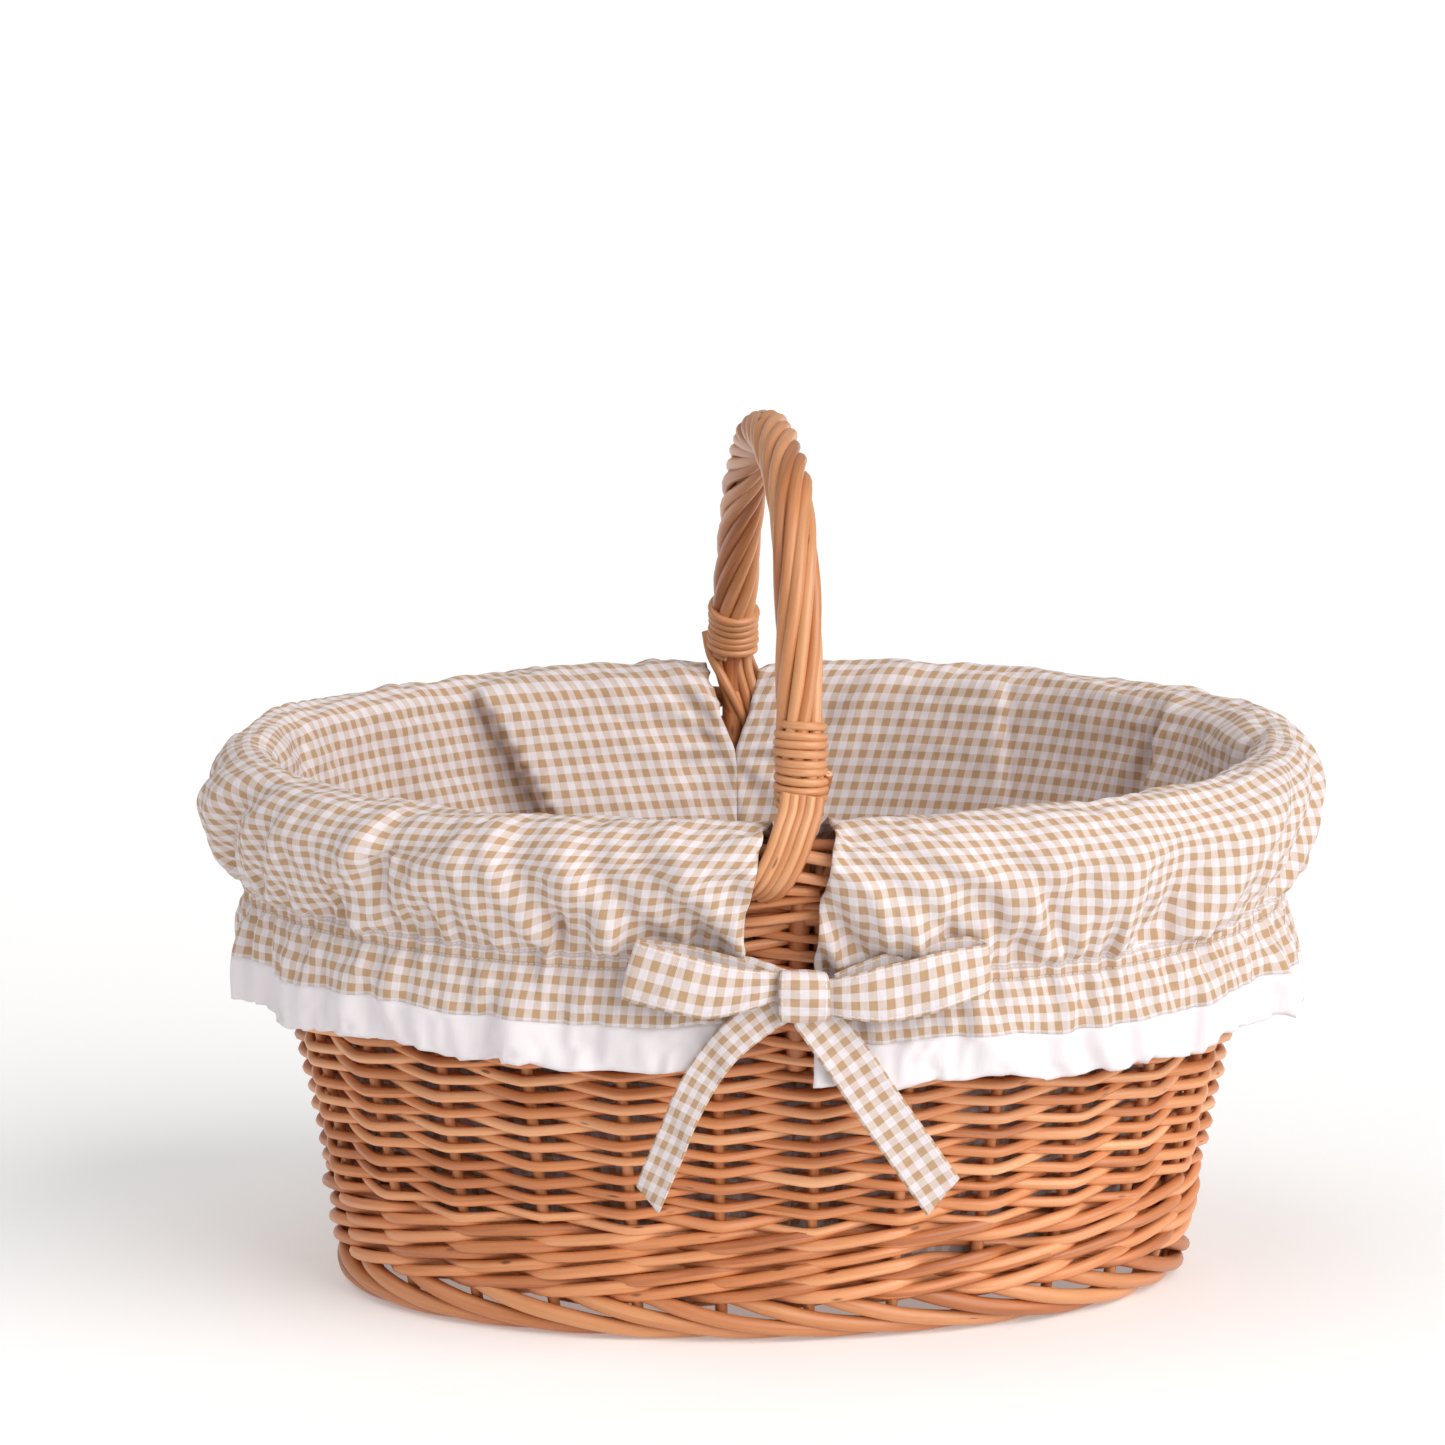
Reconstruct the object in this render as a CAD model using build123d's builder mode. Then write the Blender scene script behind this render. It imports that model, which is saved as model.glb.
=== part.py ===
"""Oval willow picnic basket with a roped handle and a gingham liner tied on with two bows.

Frame: +Z up, the basket stands on Z = 0, X runs along the oval, Y across it, and the front faces -Y.
Every wicker round is a ring that follows one flaring oval, the oval through the side stakes.
The liner and the bows at the rear are the front ones turned half a turn about Z.
"""

import math
import os

from build123d import *

# The oval through the side stakes, and how it grows with height.
STAKE_COUNT = 26
BASE_LEVEL = 10.0
BASE_HALF_LENGTH = 172.0
BASE_HALF_WIDTH = 109.5
FLARE = 0.2  # outward millimetres for each millimetre of height
STAKE_PHASE = 8.0  # from the front centre line to the first stake, along the middle oval
STAKE_RADIUS = 2.4
STAKE_FOOT = 2.0
STAKE_TOP = 214.0
STAKE_GAP = 0.05  # clearance of a stake in the rounds that are woven round it

# Heights of the woven stages, bottom to top.
FOOT_TOP = 18.0
BASE_UNDERSIDE = 8.0
UPSETT_ROUNDS = 4
UPSETT_TOP = 48.0
RANDING_BANDS = ("lower", "middle", "upper")
RANDING_TOP = 184.0
TOP_WALE_ROUNDS = 2
TOP_WALE_TOP = 196.0
BORDER_TOP = 221.0

# Thickness of the wall, measured from the stake oval.
WEAVE_HALF = 6.5
WALE_OUT = 8.0
BORDER_OUT = 11.0
BORDER_IN = 7.0
FOOT_IN = 8.0

# Base sticks, inside the woven floor of the basket.
LONG_STICK_ROWS = (-28.0, 0.0, 28.0)
LONG_STICK = (5.6, 2.6)
CROSS_STICK_COUNT = 7
CROSS_STICK_PITCH = 40.0
CROSS_STICK_RADIUS = 3.3
STICK_GAP = 0.05

# Handle: a bow pushed down into the wall at both ends, roped with willow.
ARCH_CORNERS = ((-152.8, 228.0), (-140.0, 303.0), (-130.0, 329.0), (-111.0, 348.0), (-84.0, 358.5), (-22.0, 364.0),
                (30.0, 354.0), (72.0, 335.5), (107.0, 308.5), (134.0, 271.0), (152.0, 228.0))
BOW_RADIUS = 4.5
BOW_FOOT = 120.0
ROPE_RADIUS = 9.8
COLLAR_RADIUS = 11.3
ARCH_GAP = 0.1
FRONT_COLLAR = (114.0, 34.0)  # distance from the bow's end, and length
REAR_COLLAR = (119.0, 24.0)
ROOT_ROD_RADIUS = 2.4
ROOT_RODS = 4

# Liner: cloth of one thickness that lines the basket, passes over the border and hangs down outside.
CLOTH = 1.5
LINER_GAP = 2.0  # between the weave and the lining
HEM_LEVEL = 119.0
RUFFLE_LEVEL = 140.0
GATHER_LEVEL = 162.0
CREST = 232.0
SKIRT = ((HEM_LEVEL, 50.0), (RUFFLE_LEVEL, 50.0), (GATHER_LEVEL, 49.5), (186.0, 58.5), (210.0, 61.0),
         (224.0, 56.0), (CREST, 44.0))  # height, outward from the oval at the base level
FRONT_SLIT = ((-29.0, HEM_LEVEL - 1), (-24.0, 185.0), (-17.0, CREST + 1), (12.5, CREST + 1), (6.0, 185.0),
              (3.0, HEM_LEVEL - 1))
LINING_SLIT = ((-10.0, CREST + 1), (0.0, 195.0), (10.0, CREST + 1))
ELASTIC = (4.0, 0.9)  # height and thickness of the band in the casing

# Bow: X to the right and Z up, as seen from the front.
KNOT = (-10.0, 10.0, 148.0, 169.0)
KNOT_DEPTH = (161.6, 172.4)  # distance in front of the centre
LOOP_LENGTH = 61.0
LOOP_HEIGHTS = (14.0, 23.5)
LOOP_LEVELS = (157.5, 168.0)  # middle of a loop at the knot and at its tip
LOOP_THICKNESS = 8.0
LOOP_TURN = 4.3  # degrees, so that a loop follows the skirt
TIE = (13.0, 1.0)  # height at the knot, and thickness
TAIL_TOP = 144.8
LEFT_TAIL = ((-27.0, TAIL_TOP), (-9.0, TAIL_TOP), (-58.0, 70.0), (-69.0, 79.5))
RIGHT_TAIL = ((-4.0, TAIL_TOP), (15.5, TAIL_TOP), (64.0, 79.0), (49.0, 68.0))
TAIL_DEPTH = (162.4, 164.0)

BOTTOM = (Align.CENTER, Align.CENTER, Align.MIN)


def wall(height):
    """How far the stake oval has moved out at this height, from its size at the base level."""
    return FLARE * (height - BASE_LEVEL)


def oval_solid(levels):
    """A solid with ruled sides through concentric ovals, each given by its height and its outward distance."""
    with BuildPart() as body:
        for height, outward in levels:
            with BuildSketch(Plane.XY.offset(height)):
                Ellipse(BASE_HALF_LENGTH + outward, BASE_HALF_WIDTH + outward)
        loft(ruled=True)
    return body.part


def stake_planes():
    """One plane for each side stake, at its foot, with Z along the stake."""
    middle = (BASE_LEVEL + STAKE_TOP) / 2
    half_length = BASE_HALF_LENGTH + wall(middle)
    half_width = BASE_HALF_WIDTH + wall(middle)
    oval = Edge.make_ellipse(half_length, half_width)
    front = 0.75 * oval.length
    planes = []
    for index in range(STAKE_COUNT):
        along = (front + STAKE_PHASE + index * oval.length / STAKE_COUNT) % oval.length
        point = oval.position_at(along, position_mode=PositionMode.LENGTH)
        turn = math.atan2(point.Y / half_width, point.X / half_length)
        out = Vector(math.cos(turn), math.sin(turn), 0)
        size = Vector(BASE_HALF_LENGTH * out.X, BASE_HALF_WIDTH * out.Y, 0)
        foot = size + out * wall(STAKE_FOOT) + Vector(0, 0, STAKE_FOOT)
        planes.append(Plane(origin=foot, z_dir=out * FLARE + Vector(0, 0, 1)))
    return planes


STAKES = stake_planes()
STAKE_LENGTH = (STAKE_TOP - STAKE_FOOT) * math.hypot(1, FLARE)


def side_stakes():
    """The upright rods that every round is woven on."""
    with BuildPart() as stakes:
        with Locations(*STAKES):
            Cylinder(STAKE_RADIUS, STAKE_LENGTH, align=BOTTOM)
    return stakes.part


def corner_radii(points):
    """The largest even arc at each inner corner of a route: it takes most of half the shorter run beside it."""
    radii = []
    for before, here, after in zip(points, points[1:], points[2:]):
        arriving = Vector(*here) - Vector(*before)
        leaving = Vector(*after) - Vector(*here)
        half_turn = math.radians(arriving.get_angle(leaving)) / 2
        radii.append(0.47 * min(arriving.length, leaving.length) / math.tan(half_turn))
    return radii


def arch_wire():
    """Centre line of the handle bow, from its front end in the wall to its rear end."""
    foot = BASE_HALF_WIDTH + wall(BOW_FOOT)
    points = [(-foot, BOW_FOOT), *ARCH_CORNERS, (foot, BOW_FOOT)]
    with BuildLine(Plane.YZ) as arch:
        FilletPolyline(*points, radius=corner_radii(points))
    return arch.wire()


ARCH = arch_wire()


def arch_stretch(start, end, radius):
    """A round rod of this radius along the arch, between two distances from its front end."""
    path = ARCH.trim(start / ARCH.length, end / ARCH.length)
    with BuildPart() as rod:
        with BuildSketch(Plane(origin=path @ 0, z_dir=path % 0)):
            Circle(radius)
        sweep(path=path)
    return rod.part


def ring(low, high, outer, inner, hollow=None):
    """One woven round between two heights, with a hole for each stake and for the ends of the bow."""
    outside = oval_solid([(z, wall(z) + out) for z, out in ((low, outer), (high, outer))])
    inside = oval_solid([(z, wall(z) - inner) for z in (low - 1, high + 1)]) if hollow is None else hollow
    bow = arch_stretch(0, ARCH.length, BOW_RADIUS + STAKE_GAP) if high > BOW_FOOT else None
    with BuildPart() as body:
        add(outside)
        add(inside, mode=Mode.SUBTRACT)
        with Locations(*STAKES):
            Cylinder(STAKE_RADIUS + STAKE_GAP, STAKE_LENGTH, align=BOTTOM, mode=Mode.SUBTRACT)
        if bow is not None:
            add(bow, mode=Mode.SUBTRACT)
    return body.part


def foot_border():
    """The rim that the basket stands on, made of the stake ends turned under the base."""
    outside = oval_solid([(0, 3.0), (4, 5.5), (13, 6.5), (FOOT_TOP, 7.5)])
    inside = oval_solid([(-1, -FOOT_IN), (FOOT_TOP + 1, -FOOT_IN)])
    with BuildPart() as foot:
        add(outside)
        add(inside, mode=Mode.SUBTRACT)
        with Locations(*STAKES):
            Cylinder(STAKE_RADIUS + STAKE_GAP, STAKE_LENGTH, align=BOTTOM, mode=Mode.SUBTRACT)
    return foot.part


def rim_border():
    """The rolled border on top of the wall."""
    low, high = TOP_WALE_TOP, BORDER_TOP
    outside = oval_solid([(low, wall(low) + WALE_OUT), (low + 5, wall(low + 5) + BORDER_OUT),
                          (high - 5, wall(high - 5) + BORDER_OUT), (high, wall(high) + 6)])
    inside = oval_solid([(low - 1, wall(low) - WEAVE_HALF), (low + 5, wall(low + 5) - BORDER_IN),
                         (high - 5, wall(high - 5) - BORDER_IN), (high + 1, wall(high) - 2)])
    bow = arch_stretch(0, ARCH.length, BOW_RADIUS + STAKE_GAP)
    with BuildPart() as border:
        add(outside)
        add(inside, mode=Mode.SUBTRACT)
        with Locations(*STAKES):
            Cylinder(STAKE_RADIUS + STAKE_GAP, STAKE_LENGTH, align=BOTTOM, mode=Mode.SUBTRACT)
        add(bow, mode=Mode.SUBTRACT)
    return border.part


def base_long_sticks(gap=0.0):
    """The long sticks of the base, threaded through slots in the cross sticks."""
    wide, thick = LONG_STICK
    middle = (BASE_UNDERSIDE + FOOT_TOP) / 2
    with BuildPart() as sticks:
        for row in LONG_STICK_ROWS:
            reach = (BASE_HALF_LENGTH - FOOT_IN) * math.sqrt(1 - (row / (BASE_HALF_WIDTH - FOOT_IN)) ** 2) - 3
            with Locations((0, row, middle)):
                Box(2 * reach + 2 * gap, wide + 2 * gap, thick + 2 * gap)
    return sticks.part


def base_cross_sticks(gap=0.0):
    """The cross sticks of the base, each split to take the long sticks."""
    middle = (BASE_UNDERSIDE + FOOT_TOP) / 2
    slots = base_long_sticks(STICK_GAP)
    with BuildPart() as sticks:
        for index in range(CROSS_STICK_COUNT):
            across = (index - (CROSS_STICK_COUNT - 1) / 2) * CROSS_STICK_PITCH
            reach = (BASE_HALF_WIDTH - FOOT_IN) * math.sqrt(1 - (across / (BASE_HALF_LENGTH - FOOT_IN)) ** 2) - 3
            with Locations(Plane(origin=(across, 0, middle), z_dir=(0, 1, 0))):
                Cylinder(CROSS_STICK_RADIUS + gap, 2 * reach + 2 * gap)
        if gap == 0:
            add(slots, mode=Mode.SUBTRACT)
    return sticks.part


def base_weave():
    """The woven oval floor, packed round the sticks."""
    long_room = base_long_sticks(STICK_GAP)
    cross_room = base_cross_sticks(STICK_GAP)
    with BuildPart() as floor:
        with BuildSketch(Plane.XY.offset(BASE_UNDERSIDE)):
            Ellipse(BASE_HALF_LENGTH - FOOT_IN, BASE_HALF_WIDTH - FOOT_IN)
        extrude(amount=FOOT_TOP - BASE_UNDERSIDE)
        add(long_room, mode=Mode.SUBTRACT)
        add(cross_room, mode=Mode.SUBTRACT)
    return floor.part


def handle_sleeve(start, length, outer, inner):
    """A sleeve round the arch: the roping, or one of the two collars."""
    outside = arch_stretch(start, start + length, outer)
    inside = arch_stretch(start - 2, start + length + 2, inner)
    with BuildPart() as sleeve:
        add(outside)
        add(inside, mode=Mode.SUBTRACT)
    return sleeve.part


def handle_root(turn):
    """The rod ends that fan out below a collar and pass down over the outer face of the border."""
    face = BASE_HALF_WIDTH + wall(BORDER_TOP) + BORDER_OUT + ROOT_ROD_RADIUS + 0.2
    start_level = BORDER_TOP + 9.0
    pitch = 2 * ROOT_ROD_RADIUS + 0.3
    with BuildPart() as rods:
        for index in range(ROOT_RODS):
            offset = (index - (ROOT_RODS - 1) / 2) * pitch
            points = [(offset - 1, -face + 1.0, start_level), (offset - 6, -face, BORDER_TOP - 7),
                      (offset - 15, -face + 0.8, TOP_WALE_TOP + 4)]
            with BuildLine() as route:
                FilletPolyline(*points, radius=12)
            with BuildSketch(Plane(origin=route.line @ 0, z_dir=route.line % 0)):
                Circle(ROOT_ROD_RADIUS)
            sweep(path=route.line)
    return rods.part.rotate(Axis.Z, turn)


def slit_tool(outline, near, far):
    """A prism through the front of the liner between two distances from the centre."""
    with BuildPart() as tool:
        with BuildSketch(Plane.XZ.offset(near)):
            with BuildLine():
                Polyline(*outline, close=True)
            make_face()
        extrude(amount=far - near)
    return tool.part


def liner_cut():
    """What is cut out of the liner cloth at the front and at the rear for the handle."""
    inner = BASE_HALF_WIDTH + wall(CREST) - WEAVE_HALF
    outer_slit = slit_tool(FRONT_SLIT, inner, inner + 40)
    inner_slit = slit_tool(LINING_SLIT, inner - 60, inner + 1)
    with BuildPart() as cut:
        for tool in (outer_slit, inner_slit):
            add(tool)
            add(tool.rotate(Axis.Z, 180))
    return cut.part


def halved(body):
    """The left and right halves of a body, cut at X = 0."""
    halves = {}
    for name, keep in (("left", Keep.BOTTOM), ("right", Keep.TOP)):
        with BuildPart() as half:
            add(body)
            split(bisect_by=Plane.YZ, keep=keep)
        halves[name] = half.part
    return halves


def lining_outside():
    """The solid that the lining wraps: it keeps a small gap to the weave, up to the crest."""
    face = -WEAVE_HALF - LINER_GAP
    return oval_solid([(z, wall(z) + face) for z in (FOOT_TOP + CLOTH, CREST)])


def liner_lining():
    """The inner wall of the liner, up to the crest, in its left and right halves."""
    outside = lining_outside()
    face = -WEAVE_HALF - LINER_GAP - CLOTH
    hollow = oval_solid([(z, wall(z) + face) for z in (FOOT_TOP, CREST + 1)])
    cut = liner_cut()
    with BuildPart() as cloth:
        add(outside)
        add(hollow, mode=Mode.SUBTRACT)
        add(cut, mode=Mode.SUBTRACT)
    return halved(cloth.part)


def liner_skirt():
    """The fold over the border and the skirt with its ruffle, in its left and right halves."""
    levels = [level for level in SKIRT if level[0] >= RUFFLE_LEVEL]
    under = [(z, out - CLOTH) for z, out in levels[:-1]] + [(CREST - CLOTH, levels[-1][1] - CLOTH)]
    outside = oval_solid(levels)
    inside = oval_solid(under)
    core = lining_outside()
    cut = liner_cut()
    with BuildPart() as cloth:
        add(outside)
        add(inside, mode=Mode.SUBTRACT)
        add(core, mode=Mode.SUBTRACT)
        add(cut, mode=Mode.SUBTRACT)
    return halved(cloth.part)


def skirt_band(levels, thick):
    """A band of cloth round the skirt, cut at the slits, as its left and right halves."""
    outside = oval_solid(levels)
    inside = oval_solid([(z, out - thick) for z, out in levels])
    cut = liner_cut()
    with BuildPart() as band:
        add(outside)
        add(inside, mode=Mode.SUBTRACT)
        add(cut, mode=Mode.SUBTRACT)
    return halved(band.part)


def liner_floor():
    """The oval bottom panel of the liner, lying on the woven floor."""
    outward = wall(FOOT_TOP) - WEAVE_HALF - LINER_GAP
    with BuildPart() as panel:
        with BuildSketch(Plane.XY.offset(FOOT_TOP)):
            Ellipse(BASE_HALF_LENGTH + outward, BASE_HALF_WIDTH + outward)
        extrude(amount=CLOTH)
    return panel.part


def bow_knot(turn):
    """The knot in the middle of a bow."""
    left, right, low, high = KNOT
    near, far = KNOT_DEPTH
    with BuildPart() as knot:
        with Locations(((left + right) / 2, -(near + far) / 2, (low + high) / 2)):
            Box(right - left, far - near, high - low)
        fillet(knot.edges(), radius=3)
    return knot.part.rotate(Axis.Z, turn)


def bow_loop(side, turn):
    """One loop of a bow: a flattened roll of ribbon that widens away from the knot."""
    small, large = LOOP_HEIGHTS
    near = KNOT_DEPTH[0] + 1.8
    start = Plane(origin=(side * (KNOT[1] + 0.1), -near, LOOP_LEVELS[0]), x_dir=(0, -1, 0), z_dir=(side, 0, 0))
    lean = math.radians(LOOP_TURN)
    tip = (side * (KNOT[1] + LOOP_LENGTH), -near + LOOP_LENGTH * math.sin(lean), LOOP_LEVELS[1])
    end = Plane(origin=tip, x_dir=(0, -1, 0), z_dir=(side, 0, 0))
    with BuildPart() as loop:
        for plane, tall in ((start, small), (end, large)):
            with BuildSketch(plane):
                with Locations((LOOP_THICKNESS / 2, 0)):
                    RectangleRounded(LOOP_THICKNESS, tall, LOOP_THICKNESS * 0.3)
        loft(ruled=True)
    return loop.part.rotate(Axis.Z, turn)


def bow_tie(turn):
    """The short ribbon from the casing of the left half of the liner to the knot."""
    tall, thick = TIE
    flap_edge = -24.6
    near = KNOT_DEPTH[0] - 1.3
    knot_edge = KNOT[0] - 0.1
    middle = LOOP_LEVELS[0]
    outline = [(knot_edge, middle - tall / 2), (knot_edge, middle + tall / 2), (flap_edge, 169.5), (flap_edge, 160)]
    with BuildPart() as tie:
        with BuildSketch(Plane.XZ.offset(near)):
            with BuildLine():
                Polyline(*outline, close=True)
            make_face()
        extrude(amount=thick)
    return tie.part.rotate(Axis.Z, turn)


def bow_tail(outline, turn):
    """One hanging end of a bow."""
    near, far = TAIL_DEPTH
    with BuildPart() as tail:
        with BuildSketch(Plane.XZ.offset(near)):
            with BuildLine():
                Polyline(*outline, close=True)
            make_face()
        extrude(amount=far - near)
    return tail.part.rotate(Axis.Z, turn)


def build():
    """Every node of the basket, by name."""
    parts = {
        "base_long_sticks": base_long_sticks(),
        "base_cross_sticks": base_cross_sticks(),
        "base_weave": base_weave(),
        "foot_border": foot_border(),
        "side_stakes": side_stakes(),
        "rim_border": rim_border(),
    }
    step = (UPSETT_TOP - FOOT_TOP) / UPSETT_ROUNDS
    for index in range(UPSETT_ROUNDS):
        low = FOOT_TOP + index * step
        parts[f"upsett_wale_{index + 1}"] = ring(low, low + step, WALE_OUT, WEAVE_HALF)
    step = (RANDING_TOP - UPSETT_TOP) / len(RANDING_BANDS)
    for index, name in enumerate(RANDING_BANDS):
        low = UPSETT_TOP + index * step
        parts[f"randing_{name}"] = ring(low, low + step, WEAVE_HALF, WEAVE_HALF)
    step = (TOP_WALE_TOP - RANDING_TOP) / TOP_WALE_ROUNDS
    for index in range(TOP_WALE_ROUNDS):
        low = RANDING_TOP + index * step
        parts[f"top_wale_{index + 1}"] = ring(low, low + step, WALE_OUT, WEAVE_HALF)

    rope_start = FRONT_COLLAR[0] - 1
    rope_end = ARCH.length - REAR_COLLAR[0] + 1
    parts["handle_bow"] = arch_stretch(0, ARCH.length, BOW_RADIUS)
    parts["handle_roping"] = handle_sleeve(rope_start, rope_end - rope_start, ROPE_RADIUS, BOW_RADIUS)
    parts["handle_collar_front"] = handle_sleeve(*FRONT_COLLAR, COLLAR_RADIUS, ROPE_RADIUS)
    rear_start = ARCH.length - sum(REAR_COLLAR)
    parts["handle_collar_rear"] = handle_sleeve(rear_start, REAR_COLLAR[1], COLLAR_RADIUS, ROPE_RADIUS)
    parts["handle_root_front"] = handle_root(0)
    parts["handle_root_rear"] = handle_root(180)

    parts["liner_floor"] = liner_floor()
    trim = skirt_band([level for level in SKIRT if level[0] <= RUFFLE_LEVEL], CLOTH)
    middle, outward = SKIRT[2]
    tall, thick = ELASTIC
    inside = outward - CLOTH - 0.3
    elastic = skirt_band([(middle - tall / 2, inside), (middle + tall / 2, inside)], thick)
    lining = liner_lining()
    skirt = liner_skirt()
    for side in ("left", "right"):
        parts[f"liner_lining_{side}"] = lining[side]
        parts[f"liner_skirt_{side}"] = skirt[side]
        parts[f"hem_trim_{side}"] = trim[side]
        parts[f"elastic_{side}"] = elastic[side]

    for place, turn in (("front", 0), ("rear", 180)):
        parts[f"bow_knot_{place}"] = bow_knot(turn)
        parts[f"bow_tie_{place}"] = bow_tie(turn)
        for side, name in ((-1, "left"), (1, "right")):
            parts[f"bow_loop_{place}_{name}"] = bow_loop(side, turn)
        parts[f"bow_tail_{place}_left"] = bow_tail(LEFT_TAIL, turn)
        parts[f"bow_tail_{place}_right"] = bow_tail(RIGHT_TAIL, turn)
    return parts


os.makedirs("parts", exist_ok=True)
for name, part in build().items():
    part.label = name
    export_step(part, f"parts/{name}.step")
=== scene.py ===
"""Oval willow picnic basket: woven wall, roped handle, and a gingham liner tied on with two bows.

Lengths are millimetres until a mesh is made. A "share" is a distance round the oval as a part of
its whole way: 0 at the front centre, 0.25 at the right end, 0.5 at the rear centre.
"""

import logging
import math
from dataclasses import dataclass, field
from enum import Enum
from typing import Sequence

import bpy
import numpy as np
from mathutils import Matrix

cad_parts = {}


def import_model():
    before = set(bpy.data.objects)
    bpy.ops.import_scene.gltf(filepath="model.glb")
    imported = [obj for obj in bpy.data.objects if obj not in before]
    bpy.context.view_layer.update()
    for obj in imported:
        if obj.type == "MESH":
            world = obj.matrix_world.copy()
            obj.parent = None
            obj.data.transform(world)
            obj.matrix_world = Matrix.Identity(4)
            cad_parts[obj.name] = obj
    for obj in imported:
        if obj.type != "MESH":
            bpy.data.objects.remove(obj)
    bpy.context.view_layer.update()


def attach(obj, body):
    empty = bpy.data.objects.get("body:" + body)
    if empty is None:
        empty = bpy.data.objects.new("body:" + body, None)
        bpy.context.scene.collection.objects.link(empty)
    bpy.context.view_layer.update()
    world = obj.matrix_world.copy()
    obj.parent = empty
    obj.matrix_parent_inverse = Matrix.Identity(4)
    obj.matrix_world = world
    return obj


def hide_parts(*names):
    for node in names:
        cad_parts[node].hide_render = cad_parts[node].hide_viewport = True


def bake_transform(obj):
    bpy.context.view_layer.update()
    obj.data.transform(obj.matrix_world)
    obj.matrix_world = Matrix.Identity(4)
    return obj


LOG = logging.getLogger("basket")
MM = 0.001
TAU = 2 * math.pi
ROOT = "basket"
SETTLE_FRAMES = 26
Array = np.ndarray


class Place(Enum):
    """The side of the basket that a bow or a handle end is on, by its turn about Z."""

    FRONT = 0.0
    REAR = math.pi


class Half(Enum):
    """The half of the liner, by its turn about Z: the left one is the right one turned half round."""

    RIGHT = 0.0
    LEFT = math.pi


# ---------------------------------------------------------------- small numeric helpers


def unit(vectors: Array) -> Array:
    """Vectors scaled to length one along the last axis."""
    return vectors / np.maximum(np.linalg.norm(vectors, axis=-1, keepdims=True), 1e-9)


def ease(value: Array, low: float, high: float) -> Array:
    """Smooth step: 0 below low, 1 above high, 3t^2 - 2t^3 between."""
    t = np.clip((value - low) / (high - low), 0.0, 1.0)
    return t * t * (3 - 2 * t)


def turned(points: Array, turn: float) -> Array:
    """Points turned about Z by an angle in radians."""
    cos, sin = math.cos(turn), math.sin(turn)
    x, y, z = points[..., 0], points[..., 1], points[..., 2]
    return np.stack([cos * x - sin * y, sin * x + cos * y, z], axis=-1)


def smooth_line(corners: Sequence[Sequence[float]], samples: int) -> Array:
    """A smooth line through corners: a Catmull-Rom spline, resampled to even steps of length.

    Args:
        corners: the points to pass through, in any number of dimensions.
        samples: how many points come back.

    Returns:
        An array of shape (samples, dimensions).
    """
    points = np.asarray(corners, dtype=float)
    padded = np.vstack([2 * points[0] - points[1], points, 2 * points[-1] - points[-2]])
    t = np.linspace(0, len(points) - 1, samples * 8)
    cell = np.minimum(t.astype(int), len(points) - 2)
    f = (t - cell)[:, None]
    a, b, c, d = (padded[cell + shift] for shift in range(4))
    line = 0.5 * (2 * b + (c - a) * f + (2 * a - 5 * b + 4 * c - d) * f**2 + (3 * b - a - 3 * c + d) * f**3)
    return even_steps(line, samples)


def even_steps(line: Array, samples: int) -> Array:
    """A line resampled so that its points are equally far apart along it."""
    run = np.concatenate([[0.0], np.cumsum(np.linalg.norm(np.diff(line, axis=0), axis=1))])
    at = np.linspace(0, run[-1], samples)
    return np.stack([np.interp(at, run, line[:, axis]) for axis in range(line.shape[1])], axis=1)


class Waver:
    """A smooth random wave: sines of the given lengths and heights, with seeded phases."""

    def __init__(self, seed: int, lengths: Sequence[float], heights: Sequence[float]) -> None:
        """Draws a phase for each sine, and lets each length differ by up to a tenth."""
        random = np.random.default_rng(seed)
        self.lengths = np.asarray(lengths) * random.uniform(0.9, 1.1, len(lengths))
        self.heights = np.asarray(heights)
        self.phases = random.uniform(0, TAU, len(lengths))

    def __call__(self, distance: Array) -> Array:
        """The height of the wave at each distance, by adding the sines."""
        at = np.asarray(distance)[..., None]
        return (self.heights * np.sin(TAU * at / self.lengths + self.phases)).sum(axis=-1)


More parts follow.
